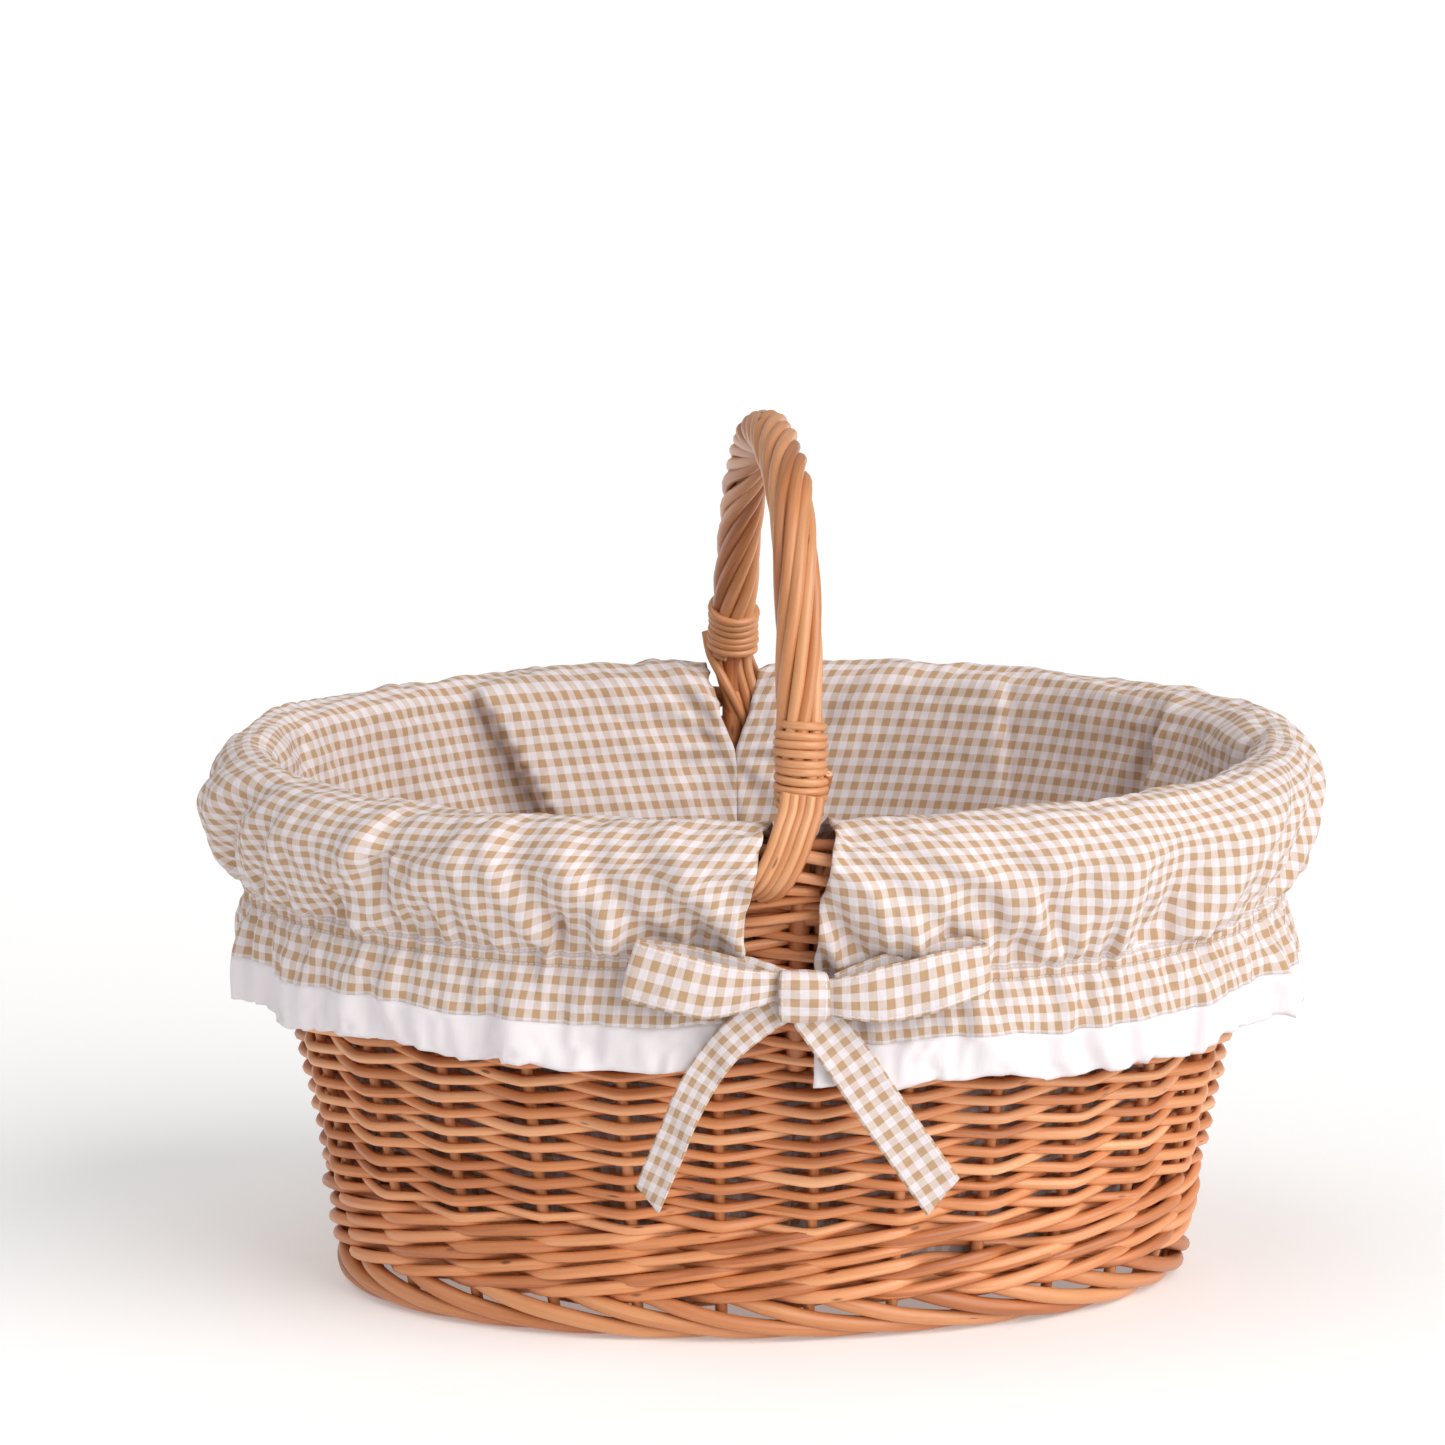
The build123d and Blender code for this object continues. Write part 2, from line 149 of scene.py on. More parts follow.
@dataclass
class Oval:
    """Plan of the basket: an ellipse through the side stakes that grows outward with height."""

    half_length: float = 172.0
    half_width: float = 109.5
    level: float = 10.0
    flare: float = 0.2
    middle: float = 112.0
    stakes: int = 26
    first_stake: float = 8.0
    angles: Array = field(init=False)
    shares: Array = field(init=False)
    way_round: float = field(init=False)

    def __post_init__(self) -> None:
        """Tabulates the share against the angle on the oval at middle height."""
        self.angles = np.linspace(-TAU / 4, TAU * 3 / 4, 4001)
        grown = self.grow(self.middle)
        run = np.stack([(self.half_length + grown) * np.cos(self.angles),
                        (self.half_width + grown) * np.sin(self.angles)], axis=1)
        way = np.concatenate([[0.0], np.cumsum(np.linalg.norm(np.diff(run, axis=0), axis=1))])
        self.way_round = float(way[-1])
        self.shares = way / way[-1]

    def grow(self, height: Array) -> Array:
        """How far the stake oval has moved out at a height."""
        return self.flare * (np.asarray(height) - self.level)

    def angle(self, share: Array) -> Array:
        """The ellipse's angle at a share of the way round, which may run past one turn."""
        whole = np.floor(share)
        return np.interp(share - whole, self.shares, self.angles) + TAU * whole

    def stake_share(self, number: Array) -> Array:
        """The share at which a stake stands; fractions lie between stakes."""
        return self.first_stake / self.way_round + np.asarray(number) / self.stakes

    def point(self, share: Array, height: Array, out: Array) -> Array:
        """The point at a share and a height, so far out from the stake oval of that height."""
        angle, height, out = np.broadcast_arrays(self.angle(np.asarray(share, dtype=float)), height, out)
        reach = out + self.grow(height)
        return np.stack([(self.half_length + reach) * np.cos(angle),
                         (self.half_width + reach) * np.sin(angle), height], axis=-1)

    def outward(self, share: Array) -> Array:
        """The level direction that points out of the oval at a share."""
        angle = self.angle(np.asarray(share, dtype=float))
        grown = self.grow(self.middle)
        return unit(np.stack([np.cos(angle) / (self.half_length + grown),
                              np.sin(angle) / (self.half_width + grown), np.zeros_like(angle)], axis=-1))


OVAL = Oval()


# ---------------------------------------------------------------- meshes


@dataclass
class Skin:
    """The arrays of one mesh: points, loops, face starts, texture places and what each face is made of."""

    points: Array
    loops: Array
    starts: Array
    uv: Array
    slots: Array
    tones: Array

    def build(self, name: str, finishes: Sequence[bpy.types.Material]) -> bpy.types.Object:
        """Puts the arrays into a new object at the origin.

        Args:
            name: the name of the piece.
            finishes: the materials that the face slots count.

        Returns:
            The new object, in metres.
        """
        mesh = bpy.data.meshes.new(name)
        mesh.vertices.add(len(self.points))
        mesh.vertices.foreach_set("co", (self.points * MM).astype(np.float32).ravel())
        mesh.loops.add(len(self.loops))
        mesh.loops.foreach_set("vertex_index", self.loops.astype(np.int32))
        mesh.polygons.add(len(self.starts))
        mesh.polygons.foreach_set("loop_start", self.starts.astype(np.int32))
        for finish in finishes:
            mesh.materials.append(finish)
        mesh.polygons.foreach_set("material_index", self.slots.astype(np.int32))
        mesh.polygons.foreach_set("use_smooth", self.slots < 1)
        mesh.uv_layers.new(name="place").data.foreach_set("uv", self.uv.astype(np.float32).ravel())
        tone = mesh.attributes.new("tone", "FLOAT", "POINT")
        tone.data.foreach_set("value", self.tones.astype(np.float32))
        mesh.update(calc_edges=True)
        mesh.validate()
        piece = bpy.data.objects.new(name, mesh)
        bpy.context.scene.collection.objects.link(piece)
        return piece


def grid_skin(points: Array, uv: Array, tones: Array | None = None, around: bool = False) -> Skin:
    """The skin of a surface given on a grid of two parameters.

    Args:
        points: (rows, columns, 3); the face normal is column direction cross row direction.
        uv: (rows, columns, 2), or one more column than points when the grid goes around.
        tones: (rows, columns) shade of each point, or None for all 0.5.
        around: whether the last column joins the first.

    Returns:
        The skin, with one quad for each cell.
    """
    rows, columns = points.shape[:2]
    index = np.arange(rows * columns).reshape(rows, columns)
    if around:
        index = np.hstack([index, index[:, :1]])
    place = np.arange(uv.shape[0] * uv.shape[1]).reshape(uv.shape[:2])

    def corners(table: Array) -> Array:
        """The four corners of each cell of a table, in order round the cell."""
        return np.stack([table[:-1, :-1], table[:-1, 1:], table[1:, 1:], table[1:, :-1]],
                        axis=-1).reshape(-1, 4)

    faces = corners(index)
    flat_uv = uv.reshape(-1, 2)[corners(place).ravel()]
    tone = np.full(rows * columns, 0.5) if tones is None else tones.ravel()
    return Skin(points.reshape(-1, 3), faces.ravel(), np.arange(len(faces)) * 4, flat_uv,
                np.zeros(len(faces), dtype=int), tone)


class RodBundle:
    """Round rods gathered into one mesh: each is a circle carried along a path, closed by flat cut ends."""

    def __init__(self, seed: int, sides: int = 8) -> None:
        """Starts an empty bundle whose rods have this many sides."""
        self.random = np.random.default_rng(seed)
        self.sides = sides
        self.skins: list[Skin] = []

    def add(self, paths: Array, radii: Array, facing: Array, tones: Array | None = None) -> None:
        """Adds rods of the same number of samples.

        Each ring is centre + radius * (cos a * up + sin a * side), with side = tangent x facing and
        up = side x tangent, so a rod never twists against the surface it lies on.

        Args:
            paths: (rods, samples, 3) centre lines.
            radii: anything that spreads to (rods, samples).
            facing: anything that spreads to (rods, samples, 3): where the first side of a rod looks.
            tones: (rods,) shade of each rod, or None for random ones.
        """
        rods, samples = paths.shape[:2]
        sides = self.sides
        radii = np.broadcast_to(radii, (rods, samples))
        tangent = unit(np.gradient(paths, axis=1))
        side = unit(np.cross(tangent, np.broadcast_to(facing, paths.shape)))
        up = np.cross(side, tangent)
        angle = np.arange(sides) * TAU / sides
        ring = np.cos(angle)[:, None] * up[:, :, None] + np.sin(angle)[:, None] * side[:, :, None]
        points = paths[:, :, None] + radii[:, :, None, None] * ring
        run = np.cumsum(np.linalg.norm(np.diff(paths, axis=1, prepend=paths[:, :1]), axis=2), axis=1)
        shift = self.random.uniform(0, 1, (rods, 1, 1))
        around = np.arange(sides + 1) / sides + shift
        uv = np.stack([np.broadcast_to(run[:, :, None] * MM + shift, (rods, samples, sides + 1)),
                       np.broadcast_to(around, (rods, samples, sides + 1))], axis=-1)
        shade = self.random.uniform(0, 1, rods) if tones is None else tones
        index = np.arange(rods * samples * sides).reshape(rods, samples, sides)
        wrapped = np.concatenate([index, index[:, :, :1]], axis=2)

        def cells(table: Array) -> Array:
            """The four corners of each cell of each rod's table, in order round the cell."""
            return np.stack([table[:, :-1, :-1], table[:, :-1, 1:], table[:, 1:, 1:], table[:, 1:, :-1]],
                            axis=3)

        quads = cells(wrapped).reshape(-1, 4)
        places = cells(np.arange(uv[..., 0].size).reshape(uv.shape[:3])).reshape(-1)
        caps = np.concatenate([index[:, 0, ::-1], index[:, -1]])
        disc = 0.5 + 0.5 * np.stack([np.cos(angle), np.sin(angle)], axis=-1)
        loops = np.concatenate([quads.ravel(), caps.ravel()])
        starts = np.concatenate([np.arange(len(quads)) * 4, len(quads) * 4 + np.arange(len(caps)) * sides])
        all_uv = np.concatenate([uv.reshape(-1, 2)[places], np.tile(disc, (len(caps), 1))])
        slots = np.concatenate([np.zeros(len(quads), dtype=int), np.ones(len(caps), dtype=int)])
        self.skins.append(Skin(points.reshape(-1, 3), loops, starts, all_uv, slots,
                               np.repeat(shade, samples * sides)))

    def build(self, name: str, finishes: Sequence[bpy.types.Material], nodes: Sequence[str], slot: str
              ) -> bpy.types.Object:
        """Makes the object, lets it stand for its CAD nodes, and lets it ride on the basket."""
        points_before = np.cumsum([0] + [len(skin.points) for skin in self.skins])
        loops_before = np.cumsum([0] + [len(skin.loops) for skin in self.skins])
        skin = Skin(
            np.concatenate([one.points for one in self.skins]),
            np.concatenate([one.loops + start for one, start in zip(self.skins, points_before)]),
            np.concatenate([one.starts + start for one, start in zip(self.skins, loops_before)]),
            np.concatenate([one.uv for one in self.skins]),
            np.concatenate([one.slots for one in self.skins]),
            np.concatenate([one.tones for one in self.skins]))
        return settle_in(skin.build(name, finishes), nodes)


def settle_in(piece: bpy.types.Object, nodes: Sequence[str], body: str = ROOT) -> bpy.types.Object:
    """Lets a piece ride on a body and stand for its CAD nodes."""
    if body:
        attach(piece, body)
    if nodes:
        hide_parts(*nodes)
    LOG.info("%s: %d faces", piece.name, len(piece.data.polygons))
    return piece


# ---------------------------------------------------------------- finishes


def linear(code: str) -> tuple[float, float, float, float]:
    """A hex sRGB colour as linear red, green, blue and alpha."""
    parts = [int(code[i:i + 2], 16) / 255 for i in (1, 3, 5)]
    red, green, blue = (p / 12.92 if p <= 0.04045 else ((p + 0.055) / 1.055) ** 2.4 for p in parts)
    return red, green, blue, 1.0


def add_node(tree: bpy.types.NodeTree, kind: str, settings: dict | None = None,
             **links: object) -> bpy.types.Node:
    """Adds a shader node, sets its properties, and fills or links its inputs.

    Args:
        tree: the node tree.
        kind: the node's type name without "ShaderNode".
        settings: properties of the node, by name.
        links: inputs by name, with _ for a space, or _0, _1 by number; a socket is linked, a value is set.

    Returns:
        The new node.
    """
    node = tree.nodes.new("ShaderNode" + kind)
    for key, value in (settings or {}).items():
        setattr(node, key, value)
    for key, value in links.items():
        name = key[1:] if key.startswith("_") else key.replace("_", " ")
        socket = node.inputs[int(name)] if name.isdigit() else node.inputs[name]
        if isinstance(value, bpy.types.NodeSocket):
            tree.links.new(value, socket)
        else:
            socket.default_value = value
    return node


def new_material(name: str) -> tuple[bpy.types.Material, bpy.types.NodeTree, bpy.types.Node]:
    """A new material with an empty Principled shader on its output."""
    material = bpy.data.materials.new(name)
    material.use_nodes = True
    tree = material.node_tree
    return material, tree, tree.nodes["Principled BSDF"]


def stops(node: bpy.types.Node, colours: Sequence[tuple[float, str]]) -> bpy.types.Node:
    """Sets the stops of a colour ramp node."""
    ramp = node.color_ramp
    while len(ramp.elements) < len(colours):
        ramp.elements.new(0.5)
    for element, (place, code) in zip(ramp.elements, colours):
        element.position = place
        element.color = linear(code)
    return node


@dataclass(frozen=True)
class SteamedWillow:
    """Peeled willow that was steamed honey brown and thinly varnished.

    Each rod has its own shade, fine streaks along it, and a dark bud scar here and there. The varnish
    gives soft, broad highlights.
    """

    name: str = "steamed willow"
    dark: str = "#99532c"
    middle: str = "#d68954"
    light: str = "#f1b483"
    streak: float = 0.045  # length of a streak, metres
    roughness: float = 0.42

    def make(self) -> bpy.types.Material:
        """Builds the material; it reads the rod's own length and side as its texture place."""
        material, tree, shader = new_material(self.name)
        place = add_node(tree, "TexCoord").outputs["UV"]
        tone = add_node(tree, "Attribute", {"attribute_name": "tone"}).outputs["Fac"]
        moved = add_node(tree, "VectorMath", {"operation": "ADD"}, _0=place,
                         _1=add_node(tree, "CombineXYZ", X=tone, Y=0.0, Z=tone).outputs[0]).outputs[0]
        along = add_node(tree, "VectorMath", {"operation": "MULTIPLY"}, _0=moved,
                         _1=(1 / self.streak, 5.0, 31.0)).outputs[0]
        streaks = add_node(tree, "TexNoise", Vector=along, Scale=1.0, Detail=4.0,
                           Roughness=0.6).outputs["Fac"]
        patches = add_node(tree, "TexNoise", Vector=along, Scale=0.22, Detail=2.0).outputs["Fac"]
        spread = add_node(tree, "Math", {"operation": "MULTIPLY_ADD"}, _0=tone, _1=0.42, _2=0.0).outputs[0]
        mixed = add_node(tree, "Math", {"operation": "MULTIPLY_ADD"}, _0=streaks, _1=0.5,
                         _2=spread).outputs[0]
        shade = add_node(tree, "Math", {"operation": "MULTIPLY_ADD"}, _0=patches, _1=0.5, _2=mixed).outputs[0]
        ramp = stops(add_node(tree, "ValToRGB", Fac=shade),
                     [(0.30, self.dark), (0.62, self.middle), (0.98, self.light)])
        scar_place = add_node(tree, "VectorMath", {"operation": "MULTIPLY"}, _0=moved,
                              _1=(34.0, 1.6, 9.0)).outputs[0]
        scars = add_node(tree, "TexVoronoi", Vector=scar_place, Scale=1.0, Randomness=1.0).outputs["Distance"]
        scar = add_node(tree, "MapRange", Value=scars, From_Min=0.05, From_Max=0.11, To_Min=0.75,
                        To_Max=0.0).outputs[0]
        colour = add_node(tree, "Mix", {"data_type": "RGBA"}, _0=scar, _6=ramp.outputs[0],
                          _7=linear("#4a2410")).outputs[2]
        tree.links.new(colour, shader.inputs["Base Color"])
        fibre_place = add_node(tree, "VectorMath", {"operation": "MULTIPLY"}, _0=moved,
                               _1=(60.0, 16.0, 9.0)).outputs[0]
        fibres = add_node(tree, "TexNoise", Vector=fibre_place, Scale=1.0, Detail=3.0).outputs["Fac"]
        bump = add_node(tree, "Bump", Strength=0.35, Distance=0.0004, Height=fibres)
        tree.links.new(bump.outputs[0], shader.inputs["Normal"])
        rough = add_node(tree, "MapRange", Value=streaks, To_Min=self.roughness - 0.08,
                         To_Max=self.roughness + 0.14).outputs[0]
        tree.links.new(rough, shader.inputs["Roughness"])
        shader.inputs["Coat Weight"].default_value = 0.3
        shader.inputs["Coat Roughness"].default_value = 0.3
        return material


@dataclass(frozen=True)
class CutWillow:
    """The sawn end of a willow rod: pale wood round a small darker pith, dry and matt."""

    name: str = "cut willow end"

    def make(self) -> bpy.types.Material:
        """Builds the material; it reads the place on the round end."""
        material, tree, shader = new_material(self.name)
        place = add_node(tree, "TexCoord").outputs["UV"]
        centred = add_node(tree, "VectorMath", {"operation": "SUBTRACT"}, _0=place,
                           _1=(0.5, 0.5, 0.0)).outputs[0]
        away = add_node(tree, "VectorMath", {"operation": "LENGTH"}, _0=centred).outputs["Value"]
        ramp = stops(add_node(tree, "ValToRGB", Fac=away),
                     [(0.06, "#8a5a36"), (0.14, "#ecc7a0"), (0.40, "#e2b184"), (0.49, "#a5663a")])
        tree.links.new(ramp.outputs[0], shader.inputs["Base Color"])
        shader.inputs["Roughness"].default_value = 0.8
        return material


@dataclass(frozen=True)
class Gingham:
    """Plain-woven gingham cotton: dyed and white threads in even checks, matt with a faint sheen.

    Where dyed threads cross dyed ones the square is full tan, where they cross white ones it is half
    tint, and the threads show as a fine tooth. The thread spacing of 0.3 mm is drawn as 0.9 mm.
    """

    name: str = "gingham cotton"
    white: str = "#e3dbdf"
    half: str = "#d5c4ba"
    tan: str = "#bc9a79"
    repeat: float = 0.0070
    thread: float = 0.0009
    stitched_middle: float = 0.0  # where the two rows of stitches lie in the flat cloth, and how far apart
    stitched_half: float = 0.0082
    # relief: depth of the dents along the stitches, and also how strong the painted shade in them is
    relief: float = 0.22

    def make(self) -> bpy.types.Material:
        """Builds the material; it reads the flat cloth's own metres as its texture place."""
        material, tree, shader = new_material(self.name)
        place = add_node(tree, "TexCoord").outputs["UV"]
        axes = add_node(tree, "SeparateXYZ", Vector=place).outputs
        bands = []
        threads = []
        for axis in (axes[0], axes[1]):
            ping = add_node(tree, "Math", {"operation": "PINGPONG"}, _0=axis, _1=self.repeat / 2).outputs[0]
            bands.append(add_node(tree, "MapRange", Value=ping, From_Min=self.repeat * 0.235,
                                  From_Max=self.repeat * 0.265, To_Min=0.0, To_Max=0.5).outputs[0])
            turns = add_node(tree, "Math", {"operation": "MULTIPLY"}, _0=axis,
                             _1=TAU / self.thread).outputs[0]
            threads.append(add_node(tree, "Math", {"operation": "SINE"}, _0=turns).outputs[0])
        both = add_node(tree, "Math", {"operation": "ADD"}, _0=bands[0], _1=bands[1]).outputs[0]
        ramp = stops(add_node(tree, "ValToRGB", Fac=both),
                     [(0.0, self.white), (0.5, self.half), (1.0, self.tan)])
        tooth = add_node(tree, "Math", {"operation": "MULTIPLY"}, _0=threads[0], _1=threads[1]).outputs[0]
        slub_place = add_node(tree, "VectorMath", {"operation": "MULTIPLY"}, _0=place,
                              _1=(900.0, 160.0, 1.0)).outputs[0]
        slubs = add_node(tree, "TexNoise", Vector=slub_place, Scale=1.0, Detail=2.0).outputs["Fac"]
        light = add_node(tree, "MapRange", Value=slubs, From_Min=0.3, From_Max=0.7, To_Min=0.93,
                         To_Max=1.04).outputs[0]
        colour = add_node(tree, "Mix", {"data_type": "RGBA", "blend_type": "MULTIPLY"}, _0=1.0,
                          _6=ramp.outputs[0],
                          _7=light).outputs[2]
        height = add_node(tree, "Math", {"operation": "ADD"}, _0=tooth, _1=slubs).outputs[0]
        colour, height = self.stitch(tree, axes, colour, height)
        tree.links.new(colour, shader.inputs["Base Color"])
        bump = add_node(tree, "Bump", Strength=0.25, Distance=0.0003, Height=height)
        tree.links.new(bump.outputs[0], shader.inputs["Normal"])
        shader.inputs["Roughness"].default_value = 0.92
        shader.inputs["Sheen Weight"].default_value = 0.12
        shader.inputs["Specular IOR Level"].default_value = 0.25
        return material

    def stitch(self, tree: bpy.types.NodeTree, axes: Sequence[bpy.types.NodeSocket],
               colour: bpy.types.NodeSocket, height: bpy.types.NodeSocket) -> tuple:
        """Adds two rows of stitches, each in a shallow dent with painted shade darkening the colour along it:
        on the edges of a ribbon or on a casing.
        """
        off = add_node(tree, "Math", {"operation": "SUBTRACT"}, _0=axes[1],
                       _1=self.stitched_middle).outputs[0]
        across = add_node(tree, "Math", {"operation": "ABSOLUTE"}, _0=off).outputs[0]
        line = add_node(tree, "Math", {"operation": "COMPARE"}, _0=across, _1=self.stitched_half,
                        _2=0.00028).outputs[0]
        near = add_node(tree, "Math", {"operation": "COMPARE"}, _0=across, _1=self.stitched_half,
                        _2=0.0009).outputs[0]
        # painted shade: within 0.9 mm of each stitch row the colour is mixed toward dark brown #8f705a,
        # standing in for shade in the dent
        painted_dent_shade = add_node(tree, "Math", {"operation": "MULTIPLY"}, _0=near, _1=self.relief * 0.28).outputs[0]
        colour = add_node(tree, "Mix", {"data_type": "RGBA"}, _0=painted_dent_shade, _6=colour,
                          _7=linear("#8f705a")).outputs[2]
        step = add_node(tree, "Math", {"operation": "PINGPONG"}, _0=axes[0], _1=0.00125).outputs[0]
        dash = add_node(tree, "Math", {"operation": "GREATER_THAN"}, _0=step, _1=0.0004).outputs[0]
        stitch = add_node(tree, "Math", {"operation": "MULTIPLY"}, _0=line, _1=dash).outputs[0]
        thread = add_node(tree, "Math", {"operation": "MULTIPLY"}, _0=stitch, _1=0.4).outputs[0]
        sewn = add_node(tree, "Mix", {"data_type": "RGBA"}, _0=thread, _6=colour,
                        _7=linear("#efe6e2")).outputs[2]
        dent = add_node(tree, "Math", {"operation": "MULTIPLY_ADD"}, _0=near, _1=-2.0 * self.relief,
                        _2=height).outputs[0]
        raised = add_node(tree, "Math", {"operation": "ADD"}, _0=dent, _1=stitch).outputs[0]
        return sewn, raised


@dataclass(frozen=True)
class PlainCotton:
    """Plain-woven bleached cotton: soft white with a fine, slightly uneven tooth."""

    name: str = "bleached cotton"
    colour: str = "#e8e2e5"
    thread: float = 0.0009

    def make(self) -> bpy.types.Material:
        """Builds the material; it reads the flat cloth's own metres as its texture place."""
        material, tree, shader = new_material(self.name)
        place = add_node(tree, "TexCoord").outputs["UV"]
        drawn = add_node(tree, "VectorMath", {"operation": "MULTIPLY"}, _0=place,
                         _1=(1100.0, 200.0, 1.0)).outputs[0]
        slubs = add_node(tree, "TexNoise", Vector=drawn, Scale=1.0, Detail=2.0).outputs["Fac"]
        ramp = stops(add_node(tree, "ValToRGB", Fac=slubs), [(0.3, "#e9e2e5"), (0.7, self.colour)])
        tree.links.new(ramp.outputs[0], shader.inputs["Base Color"])
        bump = add_node(tree, "Bump", Strength=0.2, Distance=0.0003, Height=slubs)
        tree.links.new(bump.outputs[0], shader.inputs["Normal"])
        shader.inputs["Roughness"].default_value = 0.92
        shader.inputs["Sheen Weight"].default_value = 0.12
        shader.inputs["Specular IOR Level"].default_value = 0.25
        return material


@dataclass
class Finishes:
    """Every finish of the basket, made once."""

    wall: bpy.types.Material = field(default_factory=lambda: SteamedWillow().make())
    handle: bpy.types.Material = field(default_factory=lambda: SteamedWillow(
        name="steamed willow skeins", dark="#94582f", middle="#c07c4b", light="#dba070",
        roughness=0.36).make())
    thick: bpy.types.Material = field(default_factory=lambda: SteamedWillow(
        name="thick steamed willow", dark="#8c4e27", middle="#bf7646", light="#d99a68").make())
    end: bpy.types.Material = field(default_factory=lambda: CutWillow().make())
    gingham: bpy.types.Material = field(default_factory=lambda: Gingham(
        stitched_middle=0.3034, stitched_half=0.0024, relief=1.0).make())
    ribbon: bpy.types.Material = field(default_factory=lambda: Gingham(name="gingham ribbon").make())
    white: bpy.types.Material = field(default_factory=lambda: PlainCotton().make())


# ---------------------------------------------------------------- willow work


@dataclass
class SideWall:
    """The woven wall: stakes, upsett, randing, top wale and the rolled border."""

    finishes: Finishes
    stake_radius: float = 2.4
    randing: tuple = (48.0, 184.0)
    rows: int = 36
    randing_radius: float = 2.25
    upsett: tuple = (18.0, 48.0)
    top_wale: tuple = (184.0, 196.0)
    bands: tuple = ("lower", "middle", "upper")

    def stakes(self) -> None:
        """The upright rods, each straight up the flaring wall, a little uneven."""
        random = np.random.default_rng(11)
        number = np.arange(OVAL.stakes)[:, None]
        height = np.linspace(2.5, 213.0, 40)[None, :]
        sway = 0.015 * np.sin(height / 60 + random.uniform(0, TAU, (OVAL.stakes, 1)))
        share = OVAL.stake_share(number + sway)
        paths = OVAL.point(share, height, 0.0)
        radii = self.stake_radius * random.uniform(0.93, 1.08, (OVAL.stakes, 1)) * (1.04 - 0.0004 * height)
        bundle = RodBundle(12, sides=8)
        bundle.add(paths, radii, OVAL.outward(share * np.ones_like(height)))
        bundle.build("side_stakes_rods", [self.finishes.thick, self.finishes.end], ["side_stakes"],
                     "thick_willow")

    def randing_band(self, band: int) -> None:
        """A third of the plain weave: each rod passes over one stake and behind the next.

        A rod's distance from the stakes is a rounded triangle wave, asin(k cos p) / asin(k) with p one half
        turn for each stake, and where it passes outside it dips in a sharper one.
        """
        random = np.random.default_rng(30 + band)
        each = self.rows // len(self.bands)
        rows = np.arange(each) + band * each
        pitch = (self.randing[1] - self.randing[0]) / self.rows
        first = 2 * random.integers(0, OVAL.stakes // 2, each)
        joins = np.array([0, 8, 18, 26])
        start = (first[:, None] + joins[:-1] - 0.42).ravel()
        stop = (first[:, None] + joins[1:] + 0.42).ravel()
        row = np.repeat(rows, 3)
        t = np.linspace(0, 1, 118)
        inside = np.where(row % 2 == 0, 1, 0)[:, None]
        number = start[:, None] + (stop - start)[:, None] * t + inside
        wave = (np.arcsin(0.94 * np.cos(math.pi * number)) / math.asin(0.94)
                * np.where(row % 2 == 0, 1, -1)[:, None])
        share = OVAL.stake_share(number)
        way = share * OVAL.way_round
        rods = len(row)
        phase = random.uniform(0, TAU, (rods, 4))
        wobble = (0.28 * np.sin(way / 9.5 + phase[:, :1]) + 0.34 * np.sin(way / 23 + phase[:, 1:2])
                  + 0.3 * np.sin(way / 61 + phase[:, 2:3]))
        level = self.randing[0] + pitch * (row[:, None] + 0.5)
        tip = ease(t, 0, 0.02) * ease(1 - t, 0, 0.02)
        radius = self.randing_radius * random.uniform(0.88, 1.1, (rods, 1)) * (1.1 - 0.2 * t)
        reach = self.stake_radius + radius + 0.1
        out = wave * reach - 1.2 * (1 - tip) + 0.3 * np.sin(way / 17 + phase[:, 3:])
        dip = (np.arcsin(0.995 * np.cos(math.pi * number)) / math.asin(0.995)
               * np.where(row % 2 == 0, 1, -1)[:, None])
        height = level - 1.7 * dip + wobble
        paths = OVAL.point(share, height, out)
        bundle = RodBundle(40 + band, sides=8)
        bundle.add(paths, radius, OVAL.outward(share))
        name = self.bands[band]
        bundle.build(f"randing_{name}_rods", [self.finishes.wall, self.finishes.end], [f"randing_{name}"],
                     "woven_willow")

    def wale(self, name: str, index: int, level: float, pitch: float, thick: float, node: str) -> None:
        """One round of three-rod waling: each rod passes over two stakes and behind one.

        Over three stakes a rod's distance out is tanh(1.7 g) with g = -cos(a third of a turn for each stake),
        and it climbs by a sine a quarter turn behind, so its strokes lie slanting on each other.
        """
        random = np.random.default_rng(60 + index)
        lane = np.arange(3)[:, None]
        first = math.ceil(index * OVAL.stakes / 3) * 3 + lane
        last = math.ceil((index + 1) * OVAL.stakes / 3) * 3 + lane
        t = np.linspace(0, 1, 27 * 11)
        number = first + (last - first) * t
        beat = TAU * (number - lane) / 3
        share = OVAL.stake_share(number)
        way = share * OVAL.way_round
        phase = random.uniform(0, TAU, (3, 3))
        radius = thick / 2 * random.uniform(0.92, 1.06, (3, 1)) * (1 + 0.06 * np.sin(way / 47 + phase[:, :1]))
        reach = self.stake_radius + radius + 0.2
        swing = np.tanh(1.7 * -np.cos(beat)) / math.tanh(1.7)
        climb = -0.5 * thick * np.sin(beat)
        wobble = 0.5 * np.sin(way / 19 + phase[:, 1:2]) + 0.4 * np.sin(way / 41 + phase[:, 2:])
        over = 0.9 * np.maximum(swing, 0) * np.cos(beat / 2 - math.pi / 4)
        paths = OVAL.point(share, level + pitch / 2 + climb + wobble, swing * reach + over)
        bundle = RodBundle(70 + index, sides=10)
        tones = np.array([0.0, 0.28, 0.58])[np.argsort(random.uniform(0, 1, 3))]
        bundle.add(paths, radius, OVAL.outward(share), tones)
        bundle.build(f"{name}_rods", [self.finishes.wall, self.finishes.end], [node], "woven_willow")

